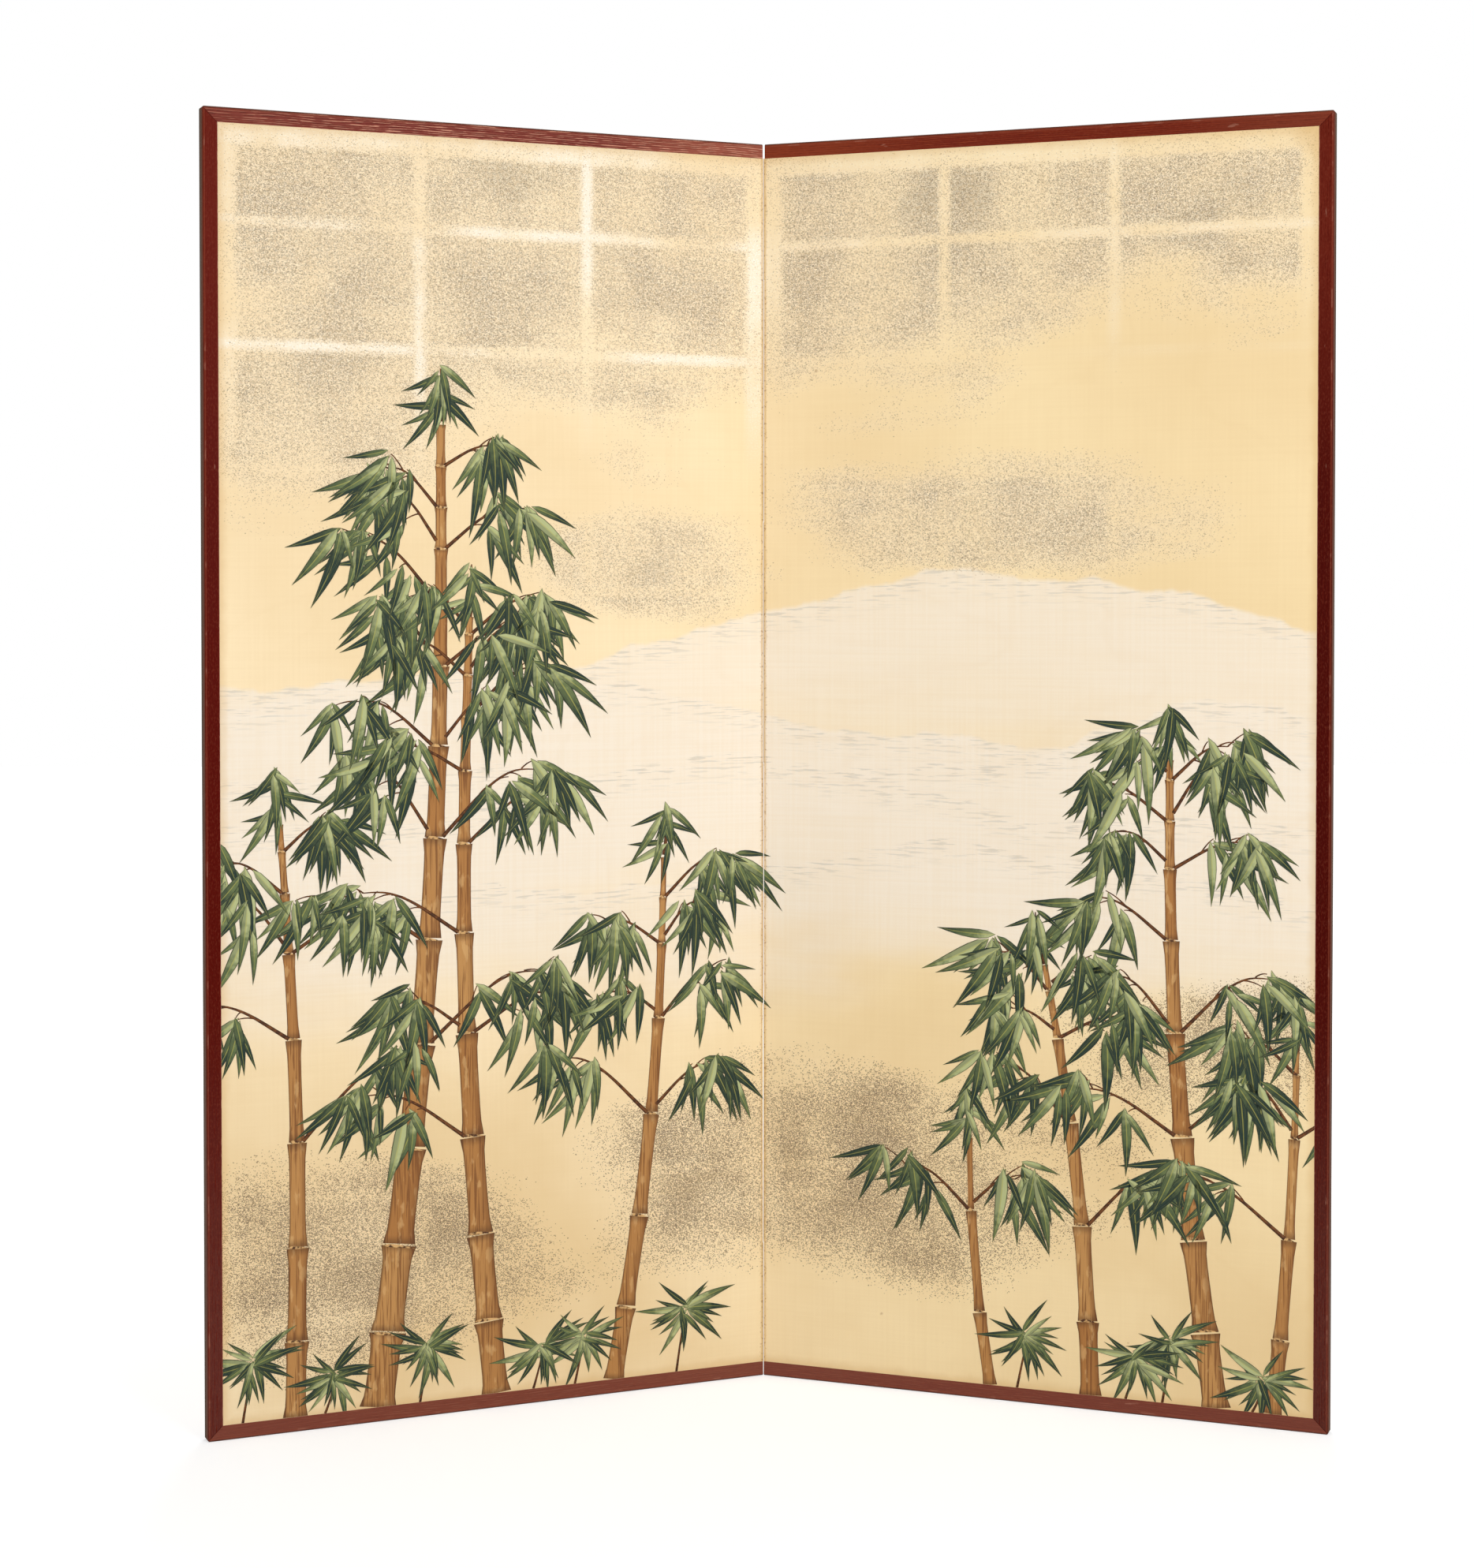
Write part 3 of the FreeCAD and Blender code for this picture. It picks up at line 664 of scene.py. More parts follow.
def make_flakes():
    """Two layers of torn flakes, each layer's longer one way than the other."""
    graph, given, made = new_group("Sprinkled flakes", ("Density",), ("Flakes", "Tone"))
    place, layers, tones = given["Place"], [], []
    for cells, turn in FLAKE_LAYERS:
        wobble = graph.node("TexNoise", {"Vector": place, "Scale": cells * 0.8, "Detail": 1.0}).outputs[1]
        shift = graph.stretch(graph.vector("SUBTRACT", wobble, (0.5, 0.5, 0.5)), 1 / cells, 1 / cells, 0)
        torn = graph.vector("ADD", place, shift)
        laid = {"Vector": torn, "Rotation": (0, 0, turn), "Scale": (TORN_LONG, 1, 1)}
        lying = graph.node("Mapping", laid).outputs[0]
        cell = graph.node("TexVoronoi", {"Vector": lying, "Scale": cells}, voronoi_dimensions="2D").outputs
        chances = graph.axes(cell["Color"])
        radius = graph.ramp(chances[1], 0.5 * FLAKE_RADIUS, FLAKE_RADIUS)
        shape = graph.math("LESS_THAN", cell["Distance"], radius)
        filled = graph.math("LESS_THAN", chances[0], graph.times(given["Density"], FLAKE_SHARE))
        layers.append(graph.times(shape, filled))
        tones.append(chances[2])
    return graph.give(made, Flakes=graph.most(*layers), Tone=tones[0])


FLAKES = make_flakes()
print("flakes a metre, one way:", [cells for cells, turn in FLAKE_LAYERS])

# %% Drifts of flakes
DRIFTS = (
    # X, Z, half width, half height, strength
    (-0.42, 1.58, 0.52, 0.26, 0.92),
    (-0.66, 1.33, 0.20, 0.13, 0.75),
    (0.06, 1.60, 0.40, 0.22, 0.90),
    (0.60, 1.63, 0.38, 0.15, 0.90),
    (0.33, 1.21, 0.28, 0.08, 0.80),
    (-0.18, 1.14, 0.18, 0.07, 0.70),
    (0.10, 0.30, 0.36, 0.14, 1.00),
    (-0.60, 0.22, 0.28, 0.13, 0.95),
    (0.66, 0.50, 0.22, 0.08, 0.75),
)
DRIFT_POWER, DRIFT_ROOT, DRIFT_RAGGED = 2.6, 0.385, 0.75
DRIFT_RIM, DRIFT_CORE = 1.18, 0.55


def make_drift():
    """A soft ragged oval: 1 in its middle and 0 outside."""
    graph, given, made = new_group("Drift", ("X", "Z", "Half width", "Half height"), ("Density",))
    axes = graph.axes(given["Place"])
    parts = []
    for axis, middle, half in ((0, "X", "Half width"), (1, "Z", "Half height")):
        off = graph.math("DIVIDE", graph.off(axes[axis], given[middle]), given[half])
        parts.append(graph.math("POWER", off, DRIFT_POWER))
    reach = graph.math("POWER", graph.plus(*parts), DRIFT_ROOT)
    ragged = graph.waver(graph.stretch(given["Place"], 1.0, 2.2, 1), 4.2, 5, DRIFT_RAGGED)
    return graph.give(made, Density=graph.step(graph.plus(reach, ragged), DRIFT_RIM, DRIFT_CORE))


DRIFT = make_drift()
print("drifts:", len(DRIFTS))

# %% [markdown]
# ## Hills in mist
# Behind the grove lie a few low hills, as pale washes with a dry grey brush along their crests. They could be
# cut-out shapes like the leaves, but a wash has no lower edge: it fades into the mist. So a hill is a mask
# that begins at a crest line and ends nowhere in particular.

# %% Low hills in mist
HILLS = (
    # X, foot, half width, rise, depth, strength
    (0.34, 0.98, 0.86, 0.15, 0.46, 0.85),
    (-0.42, 0.90, 0.70, 0.10, 0.40, 0.90),
    (0.66, 0.86, 0.40, 0.10, 0.30, 0.80),
    (-0.05, 0.80, 0.46, 0.08, 0.28, 0.75),
    (0.30, 0.70, 0.50, 0.06, 0.24, 0.70),
)
CREST_WAVER, CREST_WIDTH = 0.045, 0.05


def make_hill():
    """A low rounded hill in mist: pale below its crest, and gone again further down."""
    graph, given, made = new_group("Misty hill", ("X", "Foot", "Half width", "Rise", "Depth"),
                                   ("Hill", "Crest"))
    axes = graph.axes(given["Place"])
    off = graph.math("DIVIDE", graph.off(axes[0], given["X"]), given["Half width"])
    smooth_crest = graph.math("MULTIPLY_ADD", graph.step(off, 1.0, 0.0), given["Rise"], given["Foot"])
    uneven = graph.waver(graph.stretch(given["Place"], 1, 0, 0), 6, 6, CREST_WAVER)
    below = graph.minus(graph.plus(smooth_crest, uneven), axes[1])
    inside = graph.step(below, -0.002, 0.006)
    sunk = graph.plus(graph.math("DIVIDE", below, given["Depth"]),
                      graph.waver(graph.stretch(given["Place"], 0.6, 2, 1), 5, 4, 0.35))
    return graph.give(made, Hill=graph.times(inside, graph.step(sunk, 1.0, 0.15)),
                      Crest=graph.times(inside, graph.step(below, CREST_WIDTH, 0.0)))


HILL = make_hill()
print("hills:", len(HILLS))

# %% [markdown]
# ## The lattice that shows through
# On an old screen the flakes have rubbed off wherever a rib, a stile or a rail stands behind the silk. That
# leaves pale mottled bands that draw the whole lattice on the front, strongest near the top. They could be
# painted by eye, but the bands use the lattice's own places, so the drawing and the wood agree.

# %% Bands over the lattice
EDGE_BANDS = (
    # Axis, where the band begins, where it is full, how pale the silk is there.
    (0, FOLD_STILE_EDGE + 0.008, FOLD_STILE_EDGE - 0.008, 0.80),
    (0, OUTER_STILE_EDGE + 0.001, OUTER_STILE_EDGE + 0.014, 0.30),
    (1, picture_top - RAIL_INSET - 0.007, picture_top - RAIL_INSET + 0.004, 0.65),
    (1, picture_bottom + RAIL_INSET + 0.007, picture_bottom + RAIL_INSET - 0.004, 0.20),
)
CROSS_BAND = (CROSS_HALF_WIDTH + 0.007, CROSS_HALF_WIDTH - 0.005)
RIB_BAND = (RIB_HALF_WIDTH + 0.008, RIB_HALF_WIDTH - 0.006)


def make_bands():
    """Bands are where flakes have rubbed off, Pale where the silk has paled, Rim how far the frame is."""
    graph, given, made = new_group("Lattice bands", (), ("Bands", "Pale", "Rim"))
    place = given["Place"]
    axes = graph.axes(place)
    x, z = graph.math("ABSOLUTE", axes[0]), axes[1]
    wobble = graph.waver(place, 26, 3, 0.003)
    soft = (graph.plus(x, wobble), graph.plus(z, wobble))
    first_cross = picture_middle + CROSS_PITCH / 2
    to_cross = graph.math("PINGPONG", graph.minus(soft[1], first_cross), CROSS_PITCH / 2)
    bands = graph.times(graph.step(to_cross, *CROSS_BAND), graph.patches(place, 3.4, 2, 0.28, 0.48))
    pale = bands
    stripes = [(graph.step(graph.off(soft[0], middle), *RIB_BAND), 1.0) for middle in RIB_MIDDLES]
    stripes += [(graph.step(soft[axis], *ends), paleness) for axis, *ends, paleness in EDGE_BANDS]
    for stripe, paleness in stripes:
        bands = graph.most(bands, stripe)
        pale = graph.most(pale, graph.times(stripe, paleness))
    to_rail = graph.least(graph.minus(picture_top, z), graph.minus(z, picture_bottom))
    return graph.give(made, Bands=bands, Pale=pale, Rim=graph.least(graph.minus(picture_right, x), to_rail))


BANDS = make_bands()
print("bands over", len(RIB_MIDDLES), "ribs on each panel, and every", CROSS_PITCH, "m up")

# %% [markdown]
# ## The weave
# Painting silk is a thin plain weave, and its threads are uneven. Threads as curves would be millions, and a
# noise alone looks like plaster. Two crossed waves make the weave, and two long narrow noises the slubs.

# %% The weave
THREADS_PER_METRE, WEAVE_RELIEF = 900.0, 0.00003


def make_weave():
    """Crossed threads as a height, and slubs as a slight change of tone."""
    graph, given, made = new_group("Weave", (), ("Height", "Slubs"))
    axes = graph.axes(given["Place"])
    turn = 2 * math.pi * THREADS_PER_METRE
    waves = [graph.math("SINE", graph.times(axes[axis], turn)) for axis in (0, 1)]
    lying, standing = [graph.noise(graph.stretch(given["Place"], *long_ways), 1.0, 2)
                       for long_ways in ((5, 260, 1), (260, 5, 1))]
    height = graph.math("MULTIPLY_ADD", graph.times(*waves), 0.5, 0.5)
    return graph.give(made, Height=height, Slubs=graph.plus(lying, standing))


WEAVE = make_weave()
print("threads in one silk:", round(THREADS_PER_METRE * picture_right))

# %% [markdown]
# ## Painting the silk
# The silk is one shader that is built in the order in which the real one was made: toned ground and hills
# first, then the flakes, and last what years of folding have done. One plain gold with a picture over it
# would be quicker, but the drifts and the wear act on each other: flakes rub off over the lattice, and dust
# lies only where there are flakes.

# %% Toned ground and hills
SILK_LIGHT, SILK_GOLD, SILK_DEEP = srgb(253, 231, 191), srgb(249, 225, 177), srgb(230, 199, 146)
SILK_MIST, SILK_PALE, SILK_GLINT = srgb(246, 233, 214), srgb(251, 240, 219), srgb(255, 252, 244)
HILL_STROKE = srgb(190, 184, 172)


def silk_ground(graph, place):
    """The toned silk with its hills, before any flake."""
    axes = graph.axes(place)
    low_down = graph.step(axes[1], 0.9, 0.0)
    deep = graph.times(graph.patches(place, 2.2, 4, 0.3, 0.7), graph.ramp(low_down, 0.5, 0.95))
    # The silk is a little paler on the left panel than on the right one.
    ground = graph.coats(SILK_LIGHT, (SILK_GOLD, graph.step(axes[0], -0.35, 0.35), 1.0),
                         (SILK_DEEP, deep, 1.0))
    strokes = graph.patches(graph.stretch(place, 26, 300, 1), 1.0, 3, 0.52, 0.62)
    for x, foot, half_width, rise, depth, strength in HILLS:
        hill = graph.use(HILL, Place=place, X=x, Foot=foot, Half_width=half_width, Rise=rise, Depth=depth)
        shade = graph.times(strokes, hill["Crest"])
        ground = graph.coats(ground, (SILK_MIST, hill["Hill"], strength), (HILL_STROKE, shade, 0.5))
    return ground


print("coats of hills, with a wash and a dry brush each:", 2 * len(HILLS))

# %% How thick the flakes lie
BANDS_FROM, BANDS_FULL = 1.24, 1.46
RIGHT_HIGHER, RIGHT_FAINTNESS = 0.12, 0.35


def shown_bands(graph, place, lattice):
    """Pale bands, and where flakes have rubbed off. Both are strongest near the top of the left panel, and
    start higher on the right one, where the pale bands are fainter too."""
    axes = graph.axes(place)
    right = graph.step(axes[0], -0.001, 0.001)
    height = graph.step(graph.math("MULTIPLY_ADD", right, -RIGHT_HIGHER, axes[1]), BANDS_FROM, BANDS_FULL)
    patchy = graph.patches(place, 5, 3, 0.38, 0.60)
    shown = graph.times(height, graph.ramp(right, 1.0, RIGHT_FAINTNESS), graph.ramp(patchy, 0.12, 1.0))
    rubbed = graph.times(graph.ramp(height, 0.35, 0.95), graph.ramp(patchy, 0.75, 1.0))
    return graph.times(lattice["Pale"], shown), graph.times(lattice["Bands"], rubbed)


def flake_density(graph, place, rubbed_off):
    """How thick the flakes lie: the drifts, less what has rubbed off, and uneven all over."""
    density = 0.0
    for x, z, half_width, half_height, strength in DRIFTS:
        drift = graph.use(DRIFT, Place=place, X=x, Z=z, Half_width=half_width, Half_height=half_height)
        density = graph.most(density, graph.times(drift["Density"], strength))
    uneven = graph.ramp(graph.patches(place, 9, 5, 0.34, 0.68), 0.75, 1.45)
    return graph.times(density, graph.minus(1.0, rubbed_off), uneven)


print("bands begin", BANDS_FROM, "m up on the left, and", RIGHT_HIGHER, "m higher on the right")

# %% Dust and flakes on the silk
FLAKE_DARK, FLAKE_LIGHT, FLAKE_LOW = srgb(106, 84, 58), srgb(208, 182, 142), srgb(74, 50, 36)
FLAKE_DUST, FLAKE_HAZE = srgb(247, 231, 202), srgb(208, 196, 170)


def flake_coats(graph, place, lattice):
    """Coats of dust, pale bands, clots and flakes, and the mask of the flakes."""
    band, rubbed_off = shown_bands(graph, place, lattice)
    density = flake_density(graph, place, rubbed_off)
    thick = graph.times(graph.step(density, 0.7, 1.1), graph.patches(place, 3.4, 3, 0.52, 0.75))
    gleam = graph.times(graph.math("MULTIPLY_ADD", density, 0.12, band),
                        graph.patches(place, 520, 2, 0.54, 0.62))
    clotted = graph.times(graph.patches(place, 230, 3, 0.44, 0.62), density)
    # Flakes are darker where they lie thick. Low down, where hems and hands have brushed the screen, there is
    # little dust and the flakes are nearly black.
    low_down = graph.step(graph.axes(place)[1], 0.8, 0.5)
    flakes = graph.use(FLAKES, Place=place, Density=density)
    lightness = graph.math("MULTIPLY_ADD", density, -0.5, graph.plus(flakes["Tone"], 0.4))
    flake_tone = graph.coats(FLAKE_DARK, (FLAKE_LIGHT, lightness, 1.0), (FLAKE_LOW, low_down, 0.7))
    return (
        (FLAKE_DUST, density, graph.ramp(low_down, 0.7, 0.1)),
        (FLAKE_HAZE, thick, graph.ramp(low_down, 0.8, 0.3)),
        (SILK_PALE, band, 1.0),
        (SILK_GLINT, gleam, 1.0),
        (FLAKE_LIGHT, clotted, 0.42),
        (flake_tone, flakes["Flakes"], graph.ramp(low_down, 0.68, 0.82)),
    ), flakes["Flakes"]


print("red in the flake tones:", [round(tone[0], 3) for tone in (FLAKE_DARK, FLAKE_LIGHT, FLAKE_LOW)])

# %% Marks of age on the silk
RIM_TAN, FOLD_GOLD, SPOT_BROWN = srgb(216, 178, 118), srgb(206, 164, 96), srgb(150, 104, 62)
RIM_WIDTH, RIM_RAGGED = 0.014, 0.006
FOLD_RUB, FOLD_LINE, FOLD_CORE = 0.007, 0.0048, 0.0018
CORNER_STAIN, CORNER_CORE = 0.05, 0.005


def age_coats(graph, place, lattice):
    """A tan rim under the frame, a worn golden line down the fold, a stained corner and brown spots."""
    ragged = graph.waver(place, 38, 3, RIM_RAGGED)
    rim = graph.step(graph.plus(lattice["Rim"], ragged), RIM_WIDTH, 0.0)
    to_fold = graph.math("ABSOLUTE", graph.axes(place)[0])
    from_fold = graph.plus(to_fold, graph.times(ragged, 0.3))
    rubbed = graph.times(graph.step(from_fold, FOLD_RUB, 0.001), graph.patches(place, 300, 2, 0.58, 0.64))
    corner_point = {0: place, 1: (picture_right, picture_top, 0)}
    from_corner = graph.node("VectorMath", corner_point, operation="DISTANCE").outputs["Value"]
    stained = graph.step(graph.plus(from_corner, graph.times(ragged, 2.0)), CORNER_STAIN, CORNER_CORE)
    age = graph.use(STAINS, Place=place)
    return (
        (RIM_TAN, rim, 0.45),
        (FOLD_GOLD, graph.step(from_fold, FOLD_LINE, FOLD_CORE), 0.65),
        (SPOT_BROWN, rubbed, 0.7),
        (RIM_TAN, stained, 0.6),
        (SPOT_BROWN, age["Spots"], 0.45),
        (RIM_TAN, age["Tides"], 0.04),
    )


print("the tan rim is", RIM_WIDTH * 1000, "mm wide, and the worn line", FOLD_LINE * 1000, "mm each way")


# %% Painted silk
def picture_silk():
    """Ground, dust and flakes, then the marks of age, and the threads over all."""
    material, graph, surface = new_material("painted silk", Specular_IOR_Level=0.25)
    place = uv_place(graph, "flat")
    lattice, weave = graph.use(BANDS, Place=place), graph.use(WEAVE, Place=place)
    sprinkled, flakes = flake_coats(graph, place, lattice)
    aged = age_coats(graph, place, lattice)
    slubs = (SILK_DEEP, graph.step(weave["Slubs"], 0.75, 1.25), 0.12)
    colour = graph.coats(silk_ground(graph, place), *sprinkled, *aged, slubs)
    graph.give(surface, Base_Color=colour, Roughness=graph.ramp(flakes, 0.72, 0.5),
               Normal=graph.bump(weave["Height"], WEAVE_RELIEF))
    return material


SILK = picture_silk()
for sheet in silks.values():
    sheet.data.materials.append(SILK)
print("silk shader nodes:", len(SILK.node_tree.nodes))

# %% [markdown]
# ## The covering paper behind
# The back of such a screen is plainer: sheets of sized paper, lapped a few millimetres over each other, with
# a slightly darker line where two sheets lie double. The laps could be separate sheets, but they are thinner
# than a hair, so a line and a small bump tell them. The lattice shows here too, as faint paler bands.

# %% Covering paper
SHEET_WIDTH, SHEET_HEIGHT = 0.384, 0.4218
LAP, LAP_EDGE, BACK_RIM = 0.005, 0.0006, 0.03
COVER_LIGHT, COVER_DEEP, COVER_FIBRE = srgb(216, 192, 144), srgb(204, 176, 126), srgb(236, 216, 172)
COVER_DOUBLE, COVER_BAND, COVER_RIM = srgb(176, 140, 90), srgb(236, 214, 168), srgb(166, 126, 78)
COVER_SPOT, COVER_TIDE = srgb(140, 96, 58), srgb(160, 120, 74)


def covering_paper():
    """Lapped sheets of paper, browned at their rim."""
    material, graph, surface = new_material("covering paper", Roughness=0.8, Specular_IOR_Level=0.3)
    place = uv_place(graph, "flat")
    axes = graph.axes(place)
    fibres, lattice, age = [graph.use(group, Place=place) for group in (FIBRES, BANDS, STAINS)]
    laps = []
    for axis, start, pitch in ((0, 0.0, SHEET_WIDTH), (1, picture_bottom, SHEET_HEIGHT)):
        to_lap = graph.math("PINGPONG", graph.minus(axes[axis], start), pitch / 2)
        laps.append(graph.step(to_lap, LAP / 2, LAP / 2 - LAP_EDGE))
    double = graph.most(*laps)
    colour = graph.coats(
        COVER_LIGHT,
        (COVER_DEEP, graph.step(fibres["Clouds"], 0.2, 0.8), 1.0),
        (COVER_FIBRE, fibres["Fibres"], 0.45),
        (COVER_DOUBLE, double, 0.35),
        (COVER_BAND, lattice["Bands"], 0.16),
        (COVER_RIM, graph.step(lattice["Rim"], BACK_RIM, 0.0), 0.4),
        (COVER_SPOT, age["Spots"], 0.5),
        (COVER_TIDE, age["Tides"], 0.06),
    )
    height = graph.plus(double, fibres["Fibres"])
    graph.give(surface, Base_Color=colour, Normal=graph.bump(height, FIBRE_RELIEF))
    return material


COVER = covering_paper()
for sheet in backs.values():
    sheet.data.materials.append(COVER)
print("covering paper nodes:", len(COVER.node_tree.nodes))

# %% [markdown]
# ## A painted bamboo grove
# The picture is a traditional one, bamboo in mist, in the mineral colours that suit gold silk: malachite
# greens from pale to nearly blue, ochre and umber stems, fine dark twigs. Painted shapes have crisp outlines,
# which a shader can't draw well, so each leaf and each length of stem is a paper-thin slab a few hundredths
# of a millimetre over the silk. Every leaf is a copy of one that is modelled first.

# %% One leaf and one length of stem
PAINT = 0.00003
STEM_DEPTH, RING_DEPTH, TWIG_DEPTH, LEAF_DEPTH = 0.00005, 0.00007, 0.00011, 0.00016
LEAF_LEVELS, LEAF_LEVEL = 22, 0.000013
STRIP_COLUMNS, STRIP_ROWS = 2, 7
NARROWEST = 0.001
picture_front = silk_low.y


def shape_rows(piece, width_at, sway_at):
    """Shapes a strip of unit height row by row: how wide it is there and how far it leans."""
    for row in range(STRIP_ROWS + 1):
        level = row / STRIP_ROWS
        select_points(piece, lambda co: abs(co.z - level) < 0.3 / STRIP_ROWS)
        width = max(width_at(level), NARROWEST)
        bpy.ops.transform.resize(value=(width, 1, 1), center_override=(0, 0, level))
        bpy.ops.transform.translate(value=(sway_at(level), 0, 0))
    bpy.ops.object.mode_set(mode="OBJECT")


def strip(name, width_at, sway_at):
    """A thin painted slab, 1 wide and 1 high before it is shaped, with its own across and along as UVs."""
    piece = new_grid(name, (-0.5, 0), (0.5, 1), STRIP_COLUMNS, STRIP_ROWS)
    flat_uv(piece, "shape")
    shape_rows(piece, width_at, sway_at)
    give_thickness(piece, PAINT)
    return piece


leaf = strip("leaf", lambda v: math.sin(math.pi * v ** 0.64), lambda v: 0.7 * v * v)
stem = strip("stem", lambda v: 0.9 + 0.22 * abs(2 * v - 1) ** 5, lambda v: 0)
print("faces in a leaf:", len(leaf.data.polygons), "and in a length of stem:", len(stem.data.polygons))


# %% Copies of a painted shape
def paint_y(above):
    """Y of a painted layer that lies this much in front of the silk."""
    return picture_front - above


def set_tone(mesh, tone):
    """One number for a whole copy, which its material reads as a shade."""
    layer = mesh.attributes.new("tone", "FLOAT", "POINT")
    layer.data.foreach_set("value", [tone] * len(mesh.vertices))


def flat_place(x, z, above, turn, width, length):
    """Where a strip goes: its foot, how far it turns clockwise, and its size."""
    return (Matrix.Translation((x, paint_y(above), z)) @ Matrix.Rotation(turn, 4, "Y")
            @ Matrix.Diagonal((width, 1, length, 1)))


def copies(prototype, places, name):
    """Copies of a flat shape, each with its own mesh, place and tone, joined into one piece."""
    made = []
    for matrix, tone in places:
        mesh = prototype.data.copy()
        mesh.transform(matrix)
        set_tone(mesh, tone)
        made.append(link(name, mesh))
    take(*made)
    bpy.ops.object.join()
    made[0].name = name
    return made[0]


print("the lowest paint lies", STEM_DEPTH * 1000, "mm over the silk")

# %% [markdown]
# ## How bamboo grows
# A stem is a row of hollow lengths, short at the foot, longest in the middle, with a raised ring between
# them. Twigs leave from the rings, left and right by turns, and each ends in a fan of hanging leaves. A grove
# could be placed leaf by leaf, but it is quicker, and looks truer, to grow it by rule: a stem is a gently
# bent line, and a seeded random number gives every twig its own length and turn.

# %% Leaves and fans by rule
FAN_SPREAD, TURN_CHANCE, FOOT_CHANCE = 1.7, 0.2, 0.006
LEAF_LENGTHS, LEAF_WIDTH_SHARES = (0.064, 0.102), (0.135, 0.17)
MIDDLE_LENGTH, OUTER_SHORTER = 1.12, 0.7
TONE_MIDDLE, TONE_CHANCE, OUTER_DARKER = 0.62, 0.28, 0.5
chance = random.Random(27)
stem_places, ring_places, leaf_places, twigs = [], [], [], []


def add_leaf(x, z, turn, length, width, tone):
    """A leaf that hangs from a point. Its turn is measured from straight down."""
    above = LEAF_DEPTH + len(leaf_places) % LEAF_LEVELS * LEAF_LEVEL
    leaf_places.append((flat_place(x, z, above, math.pi - turn, width, length), tone))


def add_fan(x, z, lean, count, size=1.0):
    """Leaves that spread from the end of a twig."""
    for number in range(count):
        share = (number + 0.5) / count - 0.5
        turn = lean + FAN_SPREAD * share + chance.uniform(-TURN_CHANCE, TURN_CHANCE)
        length = size * chance.uniform(*LEAF_LENGTHS) * (MIDDLE_LENGTH - OUTER_SHORTER * abs(share))
        width = length * chance.uniform(*LEAF_WIDTH_SHARES)
        tone = min(1.0, max(0.0, chance.gauss(TONE_MIDDLE, TONE_CHANCE) - OUTER_DARKER * abs(share)))
        foot_x = x + chance.uniform(-FOOT_CHANCE, FOOT_CHANCE)
        foot_z = z + chance.uniform(-FOOT_CHANCE, FOOT_CHANCE)
        add_leaf(foot_x, foot_z, turn, length, width, tone)


print("a leaf is", *LEAF_LENGTHS, "m long, before its fan makes it shorter")

# %% Twigs by rule
TWIG_STEPS = 6
TWIG_FOOT, TWIG_GAIN, TWIG_TIP = 0.0022, 0.004, 0.0007
SHOOT_THICK, SHOOT_TIP, SHOOT_ARCH = 0.0011, 0.0006, 0.004
SHOOT_LENGTHS, SHOOT_RISES, SHOOT_LEANS = (0.006, 0.030), (-0.012, 0.024), (-0.15, 0.75)
FANS_ON_TWIG = ((2, 3), (3, 3), (4, 4), (5, 4), (6, 5))  # The step of the twig, and the leaves there.


def add_twig(x, z, side, reach, climb):
    """A twig that rises from a ring and bends over under its fans of leaves."""
    points = []
    for step in range(TWIG_STEPS + 1):
        share = step / TWIG_STEPS
        rise = climb * math.sin(1.7 * share) * (1 - 0.12 * share)
        points.append((x + side * reach * share ** 0.9, z + rise))
    twigs.append((points, TWIG_FOOT + TWIG_GAIN * reach, TWIG_TIP))
    for step, count in FANS_ON_TWIG:
        px, pz = points[step]
        shoot = chance.uniform(*SHOOT_LENGTHS)
        rise = chance.uniform(*SHOOT_RISES)
        lean = side * chance.uniform(*SHOOT_LEANS)
        end = (px + side * shoot, pz + rise)
        bend = ((px + end[0]) / 2, (pz + end[1]) / 2 + SHOOT_ARCH)
        twigs.append(([(px, pz), bend, end], SHOOT_THICK, SHOOT_TIP))
        add_fan(*end, lean, count)


print("leaves on one twig:", sum(count for step, count in FANS_ON_TWIG))

# %% Where the stems stand
STEMS = (
    # foot X, top X, height of the top, width at the foot, bow, first ring with twigs
    (-0.560, -0.470, 1.33, 0.046, 0.030, 4),
    (-0.395, -0.430, 1.07, 0.038, -0.024, 3),
    (-0.672, -0.690, 0.80, 0.030, 0.012, 3),
    (-0.225, -0.150, 0.74, 0.028, 0.018, 3),
    (0.640, 0.575, 0.88, 0.036, -0.020, 3),
    (0.470, 0.405, 0.60, 0.028, 0.014, 2),
    (0.330, 0.300, 0.36, 0.018, -0.008, 2),
    (0.715, 0.745, 0.50, 0.022, 0.006, 2),
)
print("stems:", len(STEMS))

# %% A stem by rule
SHORTEST, LENGTH_GAIN, STEM_TAPER, STEM_GAP = 0.055, 0.085, 0.74, 0.985
RING_HEIGHT, RING_LONG = 0.0042, 1.12
TWIG_REACH, REACH_LOSS, LESSER_TWIG, LESSER_RISE = 0.170, 0.10, 0.65, 0.01
REACH_CHANCES, CLIMB_SHARES, LESSER_CLIMB_SHARES = (0.8, 1.2), (0.4, 0.9), (0.3, 0.8)
TIP_RISE, TIP_BEND, TIP_THICK, TIP_THIN = 0.07, 0.004, 0.003, 0.0008
SHORTEST_LAST = 0.02
TIP_FANS = ((-0.7, 0.05), (0.6, 0.03), (-0.3, 0.01), (0.2, 0.0))  # The lean of a fan, and how far down it is.


